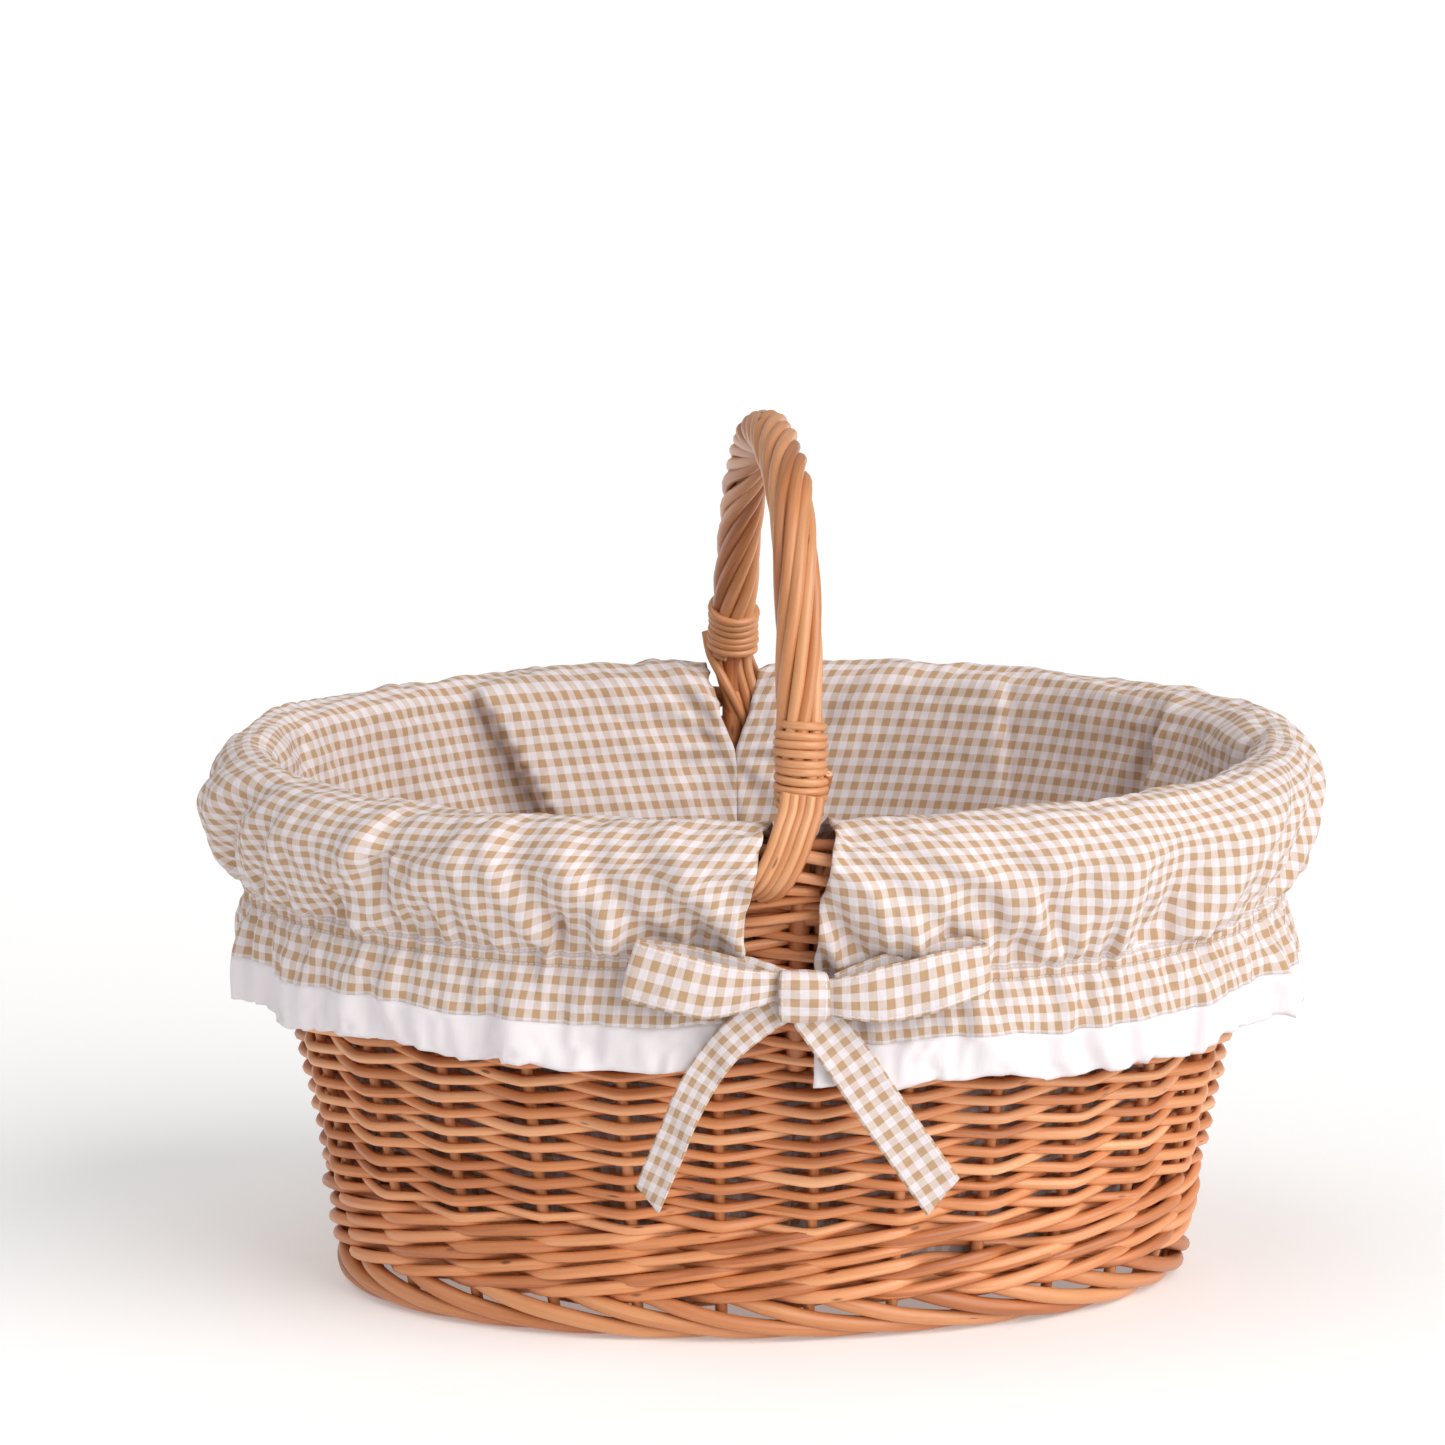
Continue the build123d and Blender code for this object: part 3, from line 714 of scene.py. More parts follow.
    def border(self) -> None:
        """The rolled border: each stake bends over to the right, passes outside two others and ends below."""
        random = np.random.default_rng(90)
        route = smooth_line([(-0.1, 190, 0), (0, 203, 0), (0.32, 213, 0.5), (0.9, 218.0, 2.5),
                             (1.6, 216.0, 7), (2.3, 210.0, 8.6), (3.0, 203.5, 8.2), (3.55, 200.0, 6.2),
                             (3.95, 198.4, 5.4)], 90)
        number = np.arange(OVAL.stakes)[:, None]
        sway = random.uniform(-1, 1, (3, OVAL.stakes, 1))
        share = OVAL.stake_share(number + route[:, 0] + 0.05 * sway[0])
        paths = OVAL.point(share, route[:, 1] + 0.7 * sway[1], route[:, 2] + 0.5 * sway[2])
        radii = 2.75 * random.uniform(0.9, 1.1, (OVAL.stakes, 1)) * np.linspace(1.06, 0.88, 90)
        bundle = RodBundle(91, sides=10)
        bundle.add(paths, radii, OVAL.outward(share))
        bundle.build("rim_border_rods", [self.finishes.wall, self.finishes.end], ["rim_border"],
                     "woven_willow")

    def build(self) -> None:
        """Builds the whole wall."""
        self.stakes()
        low, high = self.upsett
        pitch = (high - low) / 4
        for index in range(4):
            self.wale(f"upsett_wale_{index + 1}", index, low + index * pitch, pitch, 5.5 - 0.2 * index,
                      f"upsett_wale_{index + 1}")
        for band in range(len(self.bands)):
            self.randing_band(band)
        low, high = self.top_wale
        pitch = (high - low) / 2
        for index in range(2):
            self.wale(f"top_wale_{index + 1}", index + 7, low + index * pitch, pitch, 4.4,
                      f"top_wale_{index + 1}")
        self.border()


@dataclass
class Base:
    """The foot border of turned-down stakes, and the woven floor on its sticks."""

    finishes: Finishes
    half_length: float = 163.0
    half_width: float = 100.5
    middle: float = 14.2
    cross_rows: tuple = (-120.0, -80.0, -40.0, 0.0, 40.0, 80.0, 120.0)
    long_rows: tuple = (-28.0, 0.0, 28.0)

    def foot(self) -> None:
        """Each stake end comes out under the upsett, runs down to the right and tucks in two stakes on."""
        random = np.random.default_rng(95)
        route = smooth_line([(-0.15, 22, -2.0), (0.15, 19.2, 1.5), (0.5, 15.2, 4.6), (1.0, 10.4, 5.4),
                             (1.6, 6.6, 4.6), (2.2, 4.3, 2.0), (2.8, 3.9, -2.6), (3.25, 4.4, -7.0)], 80)
        number = np.arange(OVAL.stakes)[:, None]
        sway = random.uniform(-1, 1, (3, OVAL.stakes, 1))
        share = OVAL.stake_share(number + route[:, 0] + 0.09 * sway[0])
        fade = ease(route[:, 1], 4.5, 9.0)
        paths = OVAL.point(share, route[:, 1] + 1.0 * sway[1] * fade, route[:, 2] + 0.6 * sway[2])
        radii = 3.5 * random.uniform(0.93, 1.06, (OVAL.stakes, 1)) * np.linspace(1.0, 0.96, 80)
        radii = np.minimum(radii, np.maximum(paths[..., 2], 3.0))
        bundle = RodBundle(96, sides=12)
        bundle.add(paths, radii, OVAL.outward(share))
        bundle.build("foot_border_rods", [self.finishes.thick, self.finishes.end], ["foot_border"],
                     "woven_willow")

    def sticks(self) -> None:
        """The thick sticks of the floor: the cross ones, and the long ones threaded through them."""
        across = np.asarray(self.cross_rows)
        reach = self.half_width * np.sqrt(1 - (across / self.half_length) ** 2) - 3
        t = np.linspace(-1, 1, 24)
        lay = np.broadcast_to(across[:, None], (len(across), 24))
        paths = np.stack([lay, reach[:, None] * t, np.full_like(lay, self.middle)], axis=-1)
        bundle = RodBundle(97, sides=10)
        bundle.add(paths, 2.9, np.array([0.0, 0.0, 1.0]))
        bundle.build("base_cross_rods", [self.finishes.thick, self.finishes.end], ["base_cross_sticks"],
                     "thick_willow")
        rows = np.asarray(self.long_rows)
        reach = self.half_length * np.sqrt(1 - (rows / self.half_width) ** 2) - 3
        lay = np.broadcast_to(rows[:, None], (len(rows), 24))
        pairs = [np.stack([reach[:, None] * t, lay + shift, np.full_like(lay, self.middle)], axis=-1)
                 for shift in (-2.1, 2.1)]
        bundle = RodBundle(98, sides=8)
        bundle.add(np.concatenate(pairs), 1.9, np.array([0.0, 0.0, 1.0]))
        bundle.build("base_long_rods", [self.finishes.thick, self.finishes.end], ["base_long_sticks"],
                     "thick_willow")

    def weave(self) -> None:
        """Ovals of fine rod, one inside the other, over and under the sticks.

        Along each oval the height is a cosine whose half turn lies between two neighbouring stick crossings.
        """
        bundle = RodBundle(99, sides=6)
        step = 3.5
        for ring in range(27):
            length = self.half_length - 1.8 - ring * step
            width = self.half_width - 1.8 - ring * step
            long_way = [y for y in self.long_rows if abs(y) < width - 1]
            cross_way = [x for x in self.cross_rows if abs(x) < length - 1]
            meets = [math.acos(x / length) * side for x in cross_way for side in (-1, 1)]
            meets += [math.asin(y / width) for y in long_way]
            meets += [math.pi - math.asin(y / width) for y in long_way]
            meets = np.sort(np.mod(meets, TAU))
            table = np.concatenate([meets - TAU, meets, meets + TAU])
            count = len(meets) + ring % 2
            beats = np.concatenate([np.arange(len(meets)) + shift * count for shift in (-1, 0, 1)])
            angle = np.linspace(0.05, TAU - 0.02, 260)
            beat = np.interp(angle, table, beats) + ring
            over = np.cos(math.pi * beat)
            path = np.stack([length * np.cos(angle), width * np.sin(angle), self.middle + 2.6 * over],
                            axis=-1)
            bundle.add(path[None], 1.75, np.array([0.0, 0.0, 1.0]))
        bundle.build("base_weave_rods", [self.finishes.wall, self.finishes.end], ["base_weave"],
                     "thick_willow")

    def build(self) -> None:
        """Builds the foot, the sticks and the woven floor."""
        self.foot()
        self.sticks()
        self.weave()


@dataclass
class Handle:
    """The arch: a bow roped with fine rods, bound at both ends, its rod ends spread over the border."""

    finishes: Finishes
    corners: tuple = ((-131.5, 120.0), (-152.8, 228.0), (-140.0, 303.0), (-130.0, 329.0), (-111.0, 348.0),
                      (-84.0, 358.5), (-22.0, 364.0), (30.0, 354.0), (72.0, 335.5), (107.0, 308.5),
                      (134.0, 271.0), (152.0, 228.0), (131.5, 120.0))
    strands: int = 8
    strand_radius: float = 2.8
    rope_radius: float = 6.75
    front_collar: tuple = (114.0, 148.0)
    rear_collar: tuple = (143.0, 119.0)
    line: Array = field(init=False)
    length: float = field(init=False)

    def __post_init__(self) -> None:
        """Rounds the corners: between the middles of two runs the line is a parabola towards their corner."""
        points = np.asarray(self.corners)
        middles = (points[:-1] + points[1:]) / 2
        t = np.linspace(0, 1, 60)[:, None]
        bends = [(1 - t) ** 2 * a + 2 * t * (1 - t) * p + t**2 * b
                 for a, p, b in zip(middles, points[1:-1], middles[1:])]
        line = even_steps(np.vstack([points[:1], *bends, points[-1:]]), 1200)
        self.line = np.column_stack([np.zeros(len(line)), line])
        self.length = float(np.linalg.norm(np.diff(self.line, axis=0), axis=1).sum())

    def frame_at(self, distance: Array) -> tuple[Array, Array, Array]:
        """The centre, the inward direction in the arch's plane and the sideways one, at distances along."""
        at = np.linspace(0, self.length, len(self.line))
        centre = np.stack([np.interp(distance, at, self.line[:, axis]) for axis in range(3)], axis=-1)
        slope = np.gradient(self.line, axis=0)
        tangent = unit(np.stack([np.interp(distance, at, slope[:, axis]) for axis in range(3)], axis=-1))
        sideways = np.broadcast_to(np.array([1.0, 0.0, 0.0]), tangent.shape)
        return centre, np.cross(tangent, sideways), sideways

    def roping(self) -> None:
        """Fine rods twisted round the bow.

        Each is centre + radius * (cos f * inward + sin f * sideways); f falls by tan(lay) / outer radius for
        each millimetre, and the lay steepens from 14 degrees on the front leg to 23 over the crown.
        """
        random = np.random.default_rng(120)
        distance = np.linspace(self.front_collar[0] - 4, self.length - self.rear_collar[1] - 2, 420)
        lay = 14 + 9 * ease(distance, 215, 300) - 3 * ease(distance, self.length - 240, self.length - 170)
        turn = -np.concatenate([[0.0], np.cumsum(np.tan(np.radians(lay[1:])) / 10 * np.diff(distance))])
        number = np.arange(self.strands)[:, None]
        phase = random.uniform(0, TAU, (self.strands, 3))
        stray = 0.07 * np.sin(distance / 31 + phase[:, :1]) + 0.05 * np.sin(distance / 13 + phase[:, 1:2])
        around = TAU * number / self.strands + turn + stray
        lift = self.rope_radius + 0.35 * np.sin(distance / 22 + phase[:, 2:])
        centre, inward, sideways = self.frame_at(distance)
        facing = np.cos(around)[..., None] * inward + np.sin(around)[..., None] * sideways
        radii = self.strand_radius * random.uniform(0.94, 1.08, (self.strands, 1)) * np.ones_like(distance)
        bundle = RodBundle(121, sides=10)
        bundle.add(centre + lift[..., None] * facing, radii, facing)
        bundle.build("handle_roping_rods", [self.finishes.handle, self.finishes.end], ["handle_roping"],
                     "handle_willow")

    def bow(self) -> None:
        """The thick rod inside the roping, down into the wall at both ends."""
        distance = np.linspace(0.5, self.length - 0.5, 220)
        centre, inward, _ = self.frame_at(distance)
        bundle = RodBundle(122, sides=12)
        bundle.add(centre[None], 4.4, inward[None])
        bundle.build("handle_bow_rod", [self.finishes.thick, self.finishes.end], ["handle_bow"],
                     "handle_willow")

    def collar(self, name: str, start: float, stop: float, wraps: float, seed: int, node: str) -> None:
        """One rod wound round the roping in close turns, its ends tucked in."""
        random = np.random.default_rng(seed)
        t = np.linspace(0, 1, int(wraps * 30))
        distance = start + (stop - start) * t
        around = TAU * wraps * t + 2.0
        phase = random.uniform(0, TAU, 2)
        distance = distance + 0.35 * np.sin(around * 0.37 + phase[0])
        tuck = ease(t, 0, 0.05) * ease(1 - t, 0, 0.05)
        radius = 9.3 + 0.25 * np.sin(around * 0.23 + phase[1]) - 2.2 * (1 - tuck)
        centre, inward, sideways = self.frame_at(distance)
        facing = np.cos(around)[:, None] * inward + np.sin(around)[:, None] * sideways
        bundle = RodBundle(seed + 1, sides=10)
        rod = 0.52 * (stop - start) / wraps
        bundle.add((centre + radius[:, None] * facing)[None], rod * (1 - 0.1 * (1 - tuck)), facing[None],
                   np.array([0.75]))
        bundle.build(name, [self.finishes.handle, self.finishes.end], [node], "handle_willow")

    def root(self, place: Place) -> None:
        """Rods that leave the collar: five bend over the border outside to the left and tuck into the weave,
        and five more go down inside it, one of them across the others."""
        random = np.random.default_rng(130 if place is Place.FRONT else 131)
        bundle = RodBundle(132 if place is Place.FRONT else 133, sides=10)
        facing = turned(np.array([[[0.0, -1.0, 0.2]]]), place.value)
        outer = np.array([(0.8, -158.2, 240), (-0.6, -160.6, 233), (-3.6, -164.2, 225.5),
                          (-6.8, -166.2, 217.5),
                          (-10.4, -166.3, 210.0), (-13.4, -164.0, 204.6), (-16.0, -158.6, 200.6),
                          (-19.0, -151.0, 197.4)])
        inner = np.array([(0, -147.0, 240), (-0.8, -145.6, 230), (-4.5, -145.0, 217), (-8.0, -145.6, 205),
                          (-10.0, -148.0, 196)])
        routes = [outer + [-7.6 + 3.3 * index, -0.7 * (index % 2), -0.5 * index] for index in range(5)]
        routes += [inner + [-6.0 + 4.2 * index, 0.6 * (index % 2), 0.0] for index in range(4)]
        routes.append(np.array([(11.0, -150.5, 246), (9.4, -145.6, 237), (4.0, -142.6, 226),
                                (-2.0, -143.0, 214),
                                (-8.0, -145.5, 201)]))
        for index, route in enumerate(routes):
            radii = np.linspace(2.35, 2.1, 60) * random.uniform(0.92, 1.08) * (0.9 if index >= 5 else 1.0)
            bundle.add(turned(smooth_line(route, 60), place.value)[None], radii[None], facing)
        name = place.name.lower()
        bundle.build(f"handle_root_{name}_rods", [self.finishes.handle, self.finishes.end],
                     [f"handle_root_{name}"], "handle_willow")

    def build(self) -> None:
        """Builds the bow, its roping, the two collars and the spread rod ends."""
        self.bow()
        self.roping()
        self.collar("handle_collar_front_rod", *self.front_collar, 9.6, 140, "handle_collar_front")
        far, near = (self.length - value for value in self.rear_collar)
        self.collar("handle_collar_rear_rod", far, near, 6.6, 144, "handle_collar_rear")
        self.root(Place.FRONT)
        self.root(Place.REAR)


# ---------------------------------------------------------------- cloth work


@dataclass
class LinerHalf:
    """One half of the liner: lining, fold over the border, gathered skirt and ruffle in one cloth.

    The cloth is a grid. Its rows follow the profile below from the floor up the inside, over the border
    and down the outside, and its columns go round from one slit to the other.
    """

    finishes: Finishes
    half: Half
    columns: int = 150
    low_rows: int = 16
    rows: int = 74
    gather: float = 163.0
    trim_at: float = 140.0
    half_tucks: dict = field(default_factory=lambda: {
        Half.RIGHT: ((116.0, -0.04, 8.0, 1), (184.0, -0.12, 12.0, -1)),
        Half.LEFT: ((122.0, -0.615, 20.0, 1), (190.0, 0.0, 5.0, 1))})
    profile: tuple = ((19.6, -7.4), (70.0, 2.7), (120.0, 12.7), (170.0, 22.7), (205.0, 29.7), (218.0, 32.3),
                      (227.0, 35.0), (231.6, 40.5), (232.0, 47.5), (228.5, 54.0), (221.0, 58.8),
                      (211.0, 60.8), (198.0, 59.2), (185.0, 55.3), (174.0, 50.5), (166.0, 47.0),
                      (162.0, 46.5), (157.0, 48.0), (148.0, 50.5), (140.0, 51.6), (130.0, 52.2),
                      (119.5, 52.6))
    ways: tuple = ((0, 19.6, 470), (0, 150, 548), (0, 218, 592), (1, 232, 620), (1, 205, 668), (1, 163, 690),
                   (1, 119.5, 700))
    lower_edge: tuple = ((0, 20, 0.0), (0, 195, 0.0), (0, 230, 9.0), (1, 230, 12.0), (1, 185, 6.0),
                         (1, 119.5, 3.0))
    upper_edge: tuple = ((0, 20, 0.0), (0, 195, 0.0), (0, 230, 11.0), (1, 230, 16.0), (1, 185, 23.0),
                         (1, 119.5, 29.0))

    def lift(self, share: Array) -> tuple[Array, Array]:
        """How much higher the crest and the gathers sit at a share of the way round, in millimetres."""
        if self.half is Half.RIGHT:
            return (np.interp(share, (0.0, 0.16, 0.3, 0.5), (-4.0, -4.5, 0.5, 0.5)),
                    np.interp(share, (0.0, 0.05, 0.11, 0.2, 0.3, 0.5), (-0.5, -2.0, -3.5, 1.0, 2.0, 0.0)))
        return (np.interp(share, (0.0, 0.2, 0.34, 0.5), (1.0, 1.0, -4.0, -4.5)),
                np.interp(share, (0.0, 0.2, 0.29, 0.38, 0.5), (0.0, 2.0, 9.0, 6.5, 5.0)))

    def tucks(self, points: Array) -> Array:
        """Deep tucks in the lining, which stand off the wall on one side of a slanting line and lap over it.

        Args:
            points: (rows, columns, 3) smooth cloth of this half before it is turned, millimetres.

        Returns:
            (rows, columns, 3) how far each point moves: off the wall, and sideways over the line.
        """
        moves = np.zeros_like(points)
        depth = 238.0 - points[..., 2]
        inside = ease(-self.at, -self.down(0, 231.0), -self.down(0, 222.0))
        rear = points[..., 1] * (1 if self.half is Half.RIGHT else -1) > 0
        for top, lean, tall, side in self.half_tucks[self.half]:
            past = side * (top + lean * depth - points[..., 0])
            height = tall * np.interp(depth, (0.0, 12.0, 60.0, 150.0, 215.0), (0.15, 0.55, 1.0, 0.6, 0.0))
            step = np.where(rear, inside * height * ease(past, -1.2, 1.4), 0.0)
            off = step * np.exp(-np.maximum(past, 0) / (20 + 2.4 * tall))
            over = 0.45 * side * step * np.exp(-np.maximum(past, 0) / 14)
            moves += off[..., None] * self.normal + over[..., None] * np.array([1.0, 0.0, 0.0])
        return moves

    def profile_rows(self) -> tuple[Array, Array, Array]:
        """Height, reach and distance along the cloth of each row: wide rows low inside, close ones above."""
        fine = smooth_line(self.profile, 1500)
        run = np.concatenate([[0.0], np.cumsum(np.linalg.norm(np.diff(fine, axis=0), axis=1))])
        turn_in = run[np.argmax(fine[:, 0] > 150.0)]
        at = np.concatenate([np.linspace(0, turn_in, self.low_rows, endpoint=False),
                             np.linspace(turn_in, run[-1], self.rows - self.low_rows)])
        self.fine, self.run = fine, run
        return np.interp(at, run, fine[:, 0]), np.interp(at, run, fine[:, 1]), at

    def down(self, outside: int, height: float) -> float:
        """The distance along the cloth at which the profile has a height, inside or outside the basket."""
        crest = int(np.argmax(self.fine[:, 0]))
        if outside:
            return float(np.interp(-height, -self.fine[crest:, 0], self.run[crest:]))
        return float(np.interp(height, self.fine[:crest, 0], self.run[:crest]))

    def keyed(self, at: Array, keys: tuple) -> Array:
        """Values between keys of (inside or outside, height, value), along the cloth."""
        return np.interp(at, [self.down(side, height) for side, height, _ in keys], [key[2] for key in keys])

    def start(self) -> None:
        """Lays out the grid: where each point of the cloth starts, and where it is in the flat cut."""
        height, reach, at = self.profile_rows()
        self.at = at[:, None]
        u = np.linspace(0, 1, self.columns)[None, :]
        long_axis, short_axis = OVAL.half_length + reach, OVAL.half_width + reach
        bulge = ((long_axis - short_axis) / (long_axis + short_axis)) ** 2
        way = (math.pi * (long_axis + short_axis) * (1 + 3 * bulge / (10 + np.sqrt(4 - 3 * bulge))))[:, None]
        low = self.keyed(self.at, self.lower_edge)
        high = self.keyed(self.at, self.upper_edge)
        self.share = (low + u * (way / 2 - low - high)) / way
        slope = np.gradient(self.fine, self.run, axis=0)
        rise, spread = (np.interp(self.at, self.run, slope[:, axis]) for axis in (0, 1))
        level = OVAL.outward(self.share)
        self.normal = unit(-rise[..., None] * level + spread[..., None] * np.array([0.0, 0.0, 1.0]))
        crest, gather = self.down(1, 231.9), self.down(1, self.gather)
        crest_lift, gather_lift = self.lift(self.share)
        raised = (height[:, None] + gather_lift * ease(self.at, crest + 5, gather)
                  + crest_lift * ease(self.at, crest - 34, crest - 4) * ease(-self.at, -crest - 40,
                                                                             -crest - 4))
        ruffle = ease(self.at, gather + 2, gather + 44)
        seed = 230 if self.half is Half.RIGHT else 330
        raised = raised + ruffle * Waver(seed, (47, 83, 140), (0.9, 1.2, 1.2))((2 * self.share - 0.5) * 690)
        end_flare = (6.0 if self.half is Half.RIGHT else -3.0) * np.exp(-((self.share - 0.235) / 0.07) ** 2)
        reach = reach[:, None] + ruffle * end_flare
        self.points = OVAL.point(self.share, raised, reach - OVAL.grow(raised))
        wide = self.keyed(self.at, self.ways)
        self.flat = np.stack([(2 * self.share - 0.5) * wide, np.broadcast_to(self.at, self.share.shape)],
                             axis=-1)

    def folds(self, flat: Array, at: Array) -> Array:
        """How far the drape stands out from the smooth shape, before the cloth settles.

        Slanting waves fill the skirt and fade at the crest and the gathers, and wider ones fill the ruffle.
        """
        seed = 200 if self.half is Half.RIGHT else 300
        gather = self.down(1, self.gather)
        crest = self.down(1, 231.0)
        above = gather - at
        skirt = ease(at, crest - 12, crest + 30) * ease(above, -2, 10)
        low = ease(-above, -45, -4)
        slanted = flat[..., 0] + 0.9 * above * np.sin(flat[..., 0] / 83 + seed)
        long_folds = Waver(seed, (23, 33, 49, 76, 121), (0.9, 1.4, 1.9, 2.0, 1.6))(slanted)
        counter = Waver(seed + 1, (38, 59, 96), (1.1, 1.5, 1.5))(flat[..., 0] - 0.9 * above)
        close = Waver(seed + 4, (11.5, 15, 20, 27), (0.35, 0.55, 0.7, 0.8))(flat[..., 0] + 0.15 * above)
        calm = 1 - 0.75 * ease(np.abs(flat[..., 0]), 235, 285)
        ruffle = ease(at, gather + 2, gather + 34) * calm
        waves = 0.8 + Waver(seed + 2, (22, 31, 43, 62, 95), (0.9, 1.6, 2.0, 1.8, 1.2))(flat[..., 0])
        inside = ease(at, self.down(0, 90), self.down(0, 190)) * ease(-at, -crest + 4, -crest + 30)
        slant = 0.45 if self.half is Half.RIGHT else -0.3
        creases = 0.8 + Waver(seed + 3, (34, 52, 78, 118), (1.0, 1.8, 2.2, 2.0))(flat[..., 0] + slant * at)
        lining = 0.5 * (creases + np.sqrt(creases**2 + 0.6))
        return skirt * (long_folds + counter + low * close) + ruffle * (waves + 0.6 * close) + inside * lining

    def puckers(self, flat: Array, at: Array) -> Array:
        """Close wrinkles finer than the settling cloth can carry.

        Ridges stand where the elastic gathers the cloth and run on up as puffs and down as pleats, the crest
        is bumpy, and creases fan out from the foot of the rear slit.
        """
        seed = 210 if self.half is Half.RIGHT else 310
        way = flat[..., 0]
        away = at - self.down(1, self.gather)
        near = np.exp(-(np.abs(away) / np.where(away > 0, 13.0, 20.0)) ** 1.3)
        channel = 1 - 0.5 * np.exp(-(away / 2.6) ** 2)
        ridges = Waver(seed, (8.2, 9.8, 12.2, 15.4, 21), (0.5, 0.8, 0.9, 0.8, 0.7))(way)
        seam = -1.1 * (np.exp(-((away - 2.8) / 1.5) ** 2) + np.exp(-((away + 2.8) / 1.5) ** 2))
        drawn = Waver(seed + 1, (19, 27, 38, 57), (0.6, 0.9, 1.0,
                                                   0.8))(way + 0.45 * away * np.sin(way / 61 + seed))
        puffs = (np.sqrt(drawn**2 + 0.05) - 0.9) * ease(-away, 2, 12) * ease(away, -64, -14)
        pleats = Waver(seed + 2, (12.5, 17, 24), (0.5, 0.8, 0.9))(way + 0.1 * away) * ease(away, 1, 9)
        pleats = pleats * (1 - 0.8 * ease(away, 12, 32))
        from_crest = at - self.down(1, 231.0)
        bumps = Waver(seed + 3, (16, 22, 31, 47), (0.3, 0.4, 0.4, 0.4))(way + 0.8 * from_crest)
        crest = np.exp(-((from_crest + 4) / 17) ** 2) * (np.abs(bumps) ** 0.8 - 0.3)
        across = way - (292.0 if self.half is Half.RIGHT else -292.0)
        down = at - self.down(0, 196.0)
        reach = np.hypot(across, down)
        fan = np.sin(11 * np.arctan2(down, np.abs(across)) + 1.0) * np.exp(-(reach / 48) ** 2) * ease(reach,
                                                                                                      4, 22)
        return near * channel * ridges + seam + puffs + pleats + crest + 1.3 * fan

    def settle(self, points: Array) -> Array:
        """Lets the cloth settle over the border under its own weight, with the flat cut as its rest shape.

        Args:
            points: (rows, columns, 3) start of the cloth, millimetres.

        Returns:
            The settled points.
        """
        start = grid_skin(points, self.flat).build("settling", [])
        start.shape_key_add(name="start")
        rest = start.shape_key_add(name="cut")
        cut = np.concatenate([self.flat, np.zeros_like(self.flat[..., :1])], axis=-1)
        rest.data.foreach_set("co", (cut * MM).astype(np.float32).ravel())
        gather = self.down(1, self.gather)
        held = np.where(self.at < self.down(0, 188.0), 1.0, 0.0)
        held = np.maximum(held, np.abs(self.at - gather) < 2.6)
        free = 0.02 + 0.05 * ease(-self.at, -gather - 30, -gather - 5)
        weight = np.broadcast_to(np.where(held > 0, 1.0, free), points.shape[:2]).copy()
        group = start.vertex_groups.new(name="held")
        rounded = np.round(weight.ravel(), 2)
        for value in np.unique(rounded):
            group.add(np.flatnonzero(rounded == value).tolist(), float(value), "REPLACE")
        cloth = start.modifiers.new("settle", "CLOTH")
        settings = cloth.settings
        settings.rest_shape_key = rest
        settings.vertex_group_mass = "held"
        settings.quality = 6
        settings.mass = 0.0004
        settings.tension_stiffness = settings.compression_stiffness = 6.0
        settings.shear_stiffness = 1.5
        settings.bending_stiffness = 0.02
        settings.tension_damping = settings.compression_damping = 3.0
        settings.air_damping = 2.0
        cloth.collision_settings.distance_min = 0.0012
        cloth.point_cache.frame_end = SETTLE_FRAMES
        for frame in range(1, SETTLE_FRAMES + 1):
            bpy.context.scene.frame_set(frame)
        shown = start.evaluated_get(bpy.context.evaluated_depsgraph_get())
        found = np.empty(points.size, dtype=np.float32)
        shown.data.vertices.foreach_get("co", found)
        bpy.context.scene.frame_set(1)
        mesh = start.data
        bpy.data.objects.remove(start)
        bpy.data.meshes.remove(mesh)
        return found.reshape(points.shape).astype(float) / MM

    def build(self) -> tuple[bpy.types.Object, bpy.types.Object]:
        """Makes the cloth of this half and the white band along its hem."""
        self.start()
        side = self.half.name.lower()
        points = turned(self.points + self.normal * self.folds(self.flat, self.at)[..., None],
                        self.half.value)
        points = self.settle(points)
        points = points + turned(self.tucks(self.points), self.half.value)
        points, flat, at = finer(points), finer(self.flat), finer(self.at[..., None])[..., 0]
        normal = unit(np.cross(np.gradient(points, axis=0), np.gradient(points, axis=1)))
        points = points + normal * self.puckers(flat, at)[..., None]
        row = int(np.argmax(at[:, 0] > self.down(1, self.trim_at)))
        tan = self.piece(f"liner_cloth_{side}", points[:row + 1], flat[:row + 1], self.finishes.gingham)
        settle_in(tan, [f"liner_lining_{side}", f"liner_skirt_{side}"])
        hem = self.piece(f"hem_band_{side}", points[row:], flat[row:], self.finishes.white)
        settle_in(hem, [f"hem_trim_{side}"])
        return tan, hem

    @staticmethod
    def piece(name: str, points: Array, flat: Array, finish: bpy.types.Material) -> bpy.types.Object:
        """A cloth piece 0.8 mm thick whose drawn side is the outer one."""
        piece = grid_skin(points[:, ::-1], flat[:, ::-1] * MM).build(name, [finish])
        thicken(piece, 0.8, -1.0)
        return piece


def finer(grid: Array) -> Array:
    """A grid with a point added between each two, by the cubic through the four nearest.

    The added point is (9 (b + c) - a - d) / 16, for the four nearest points a, b, c and d.
    """
    for axis in (0, 1):
        if grid.shape[axis] < 2:
            continue
        grid = np.swapaxes(grid, 0, axis)
        padded = np.concatenate([2 * grid[:1] - grid[1:2], grid, 2 * grid[-1:] - grid[-2:-1]])
        between = (9 * (padded[1:-2] + padded[2:-1]) - padded[:-3] - padded[3:]) / 16
        wide = np.empty((2 * len(grid) - 1,) + grid.shape[1:])
        wide[::2] = grid
        wide[1::2] = between
        grid = np.swapaxes(wide, 0, axis)
    return grid


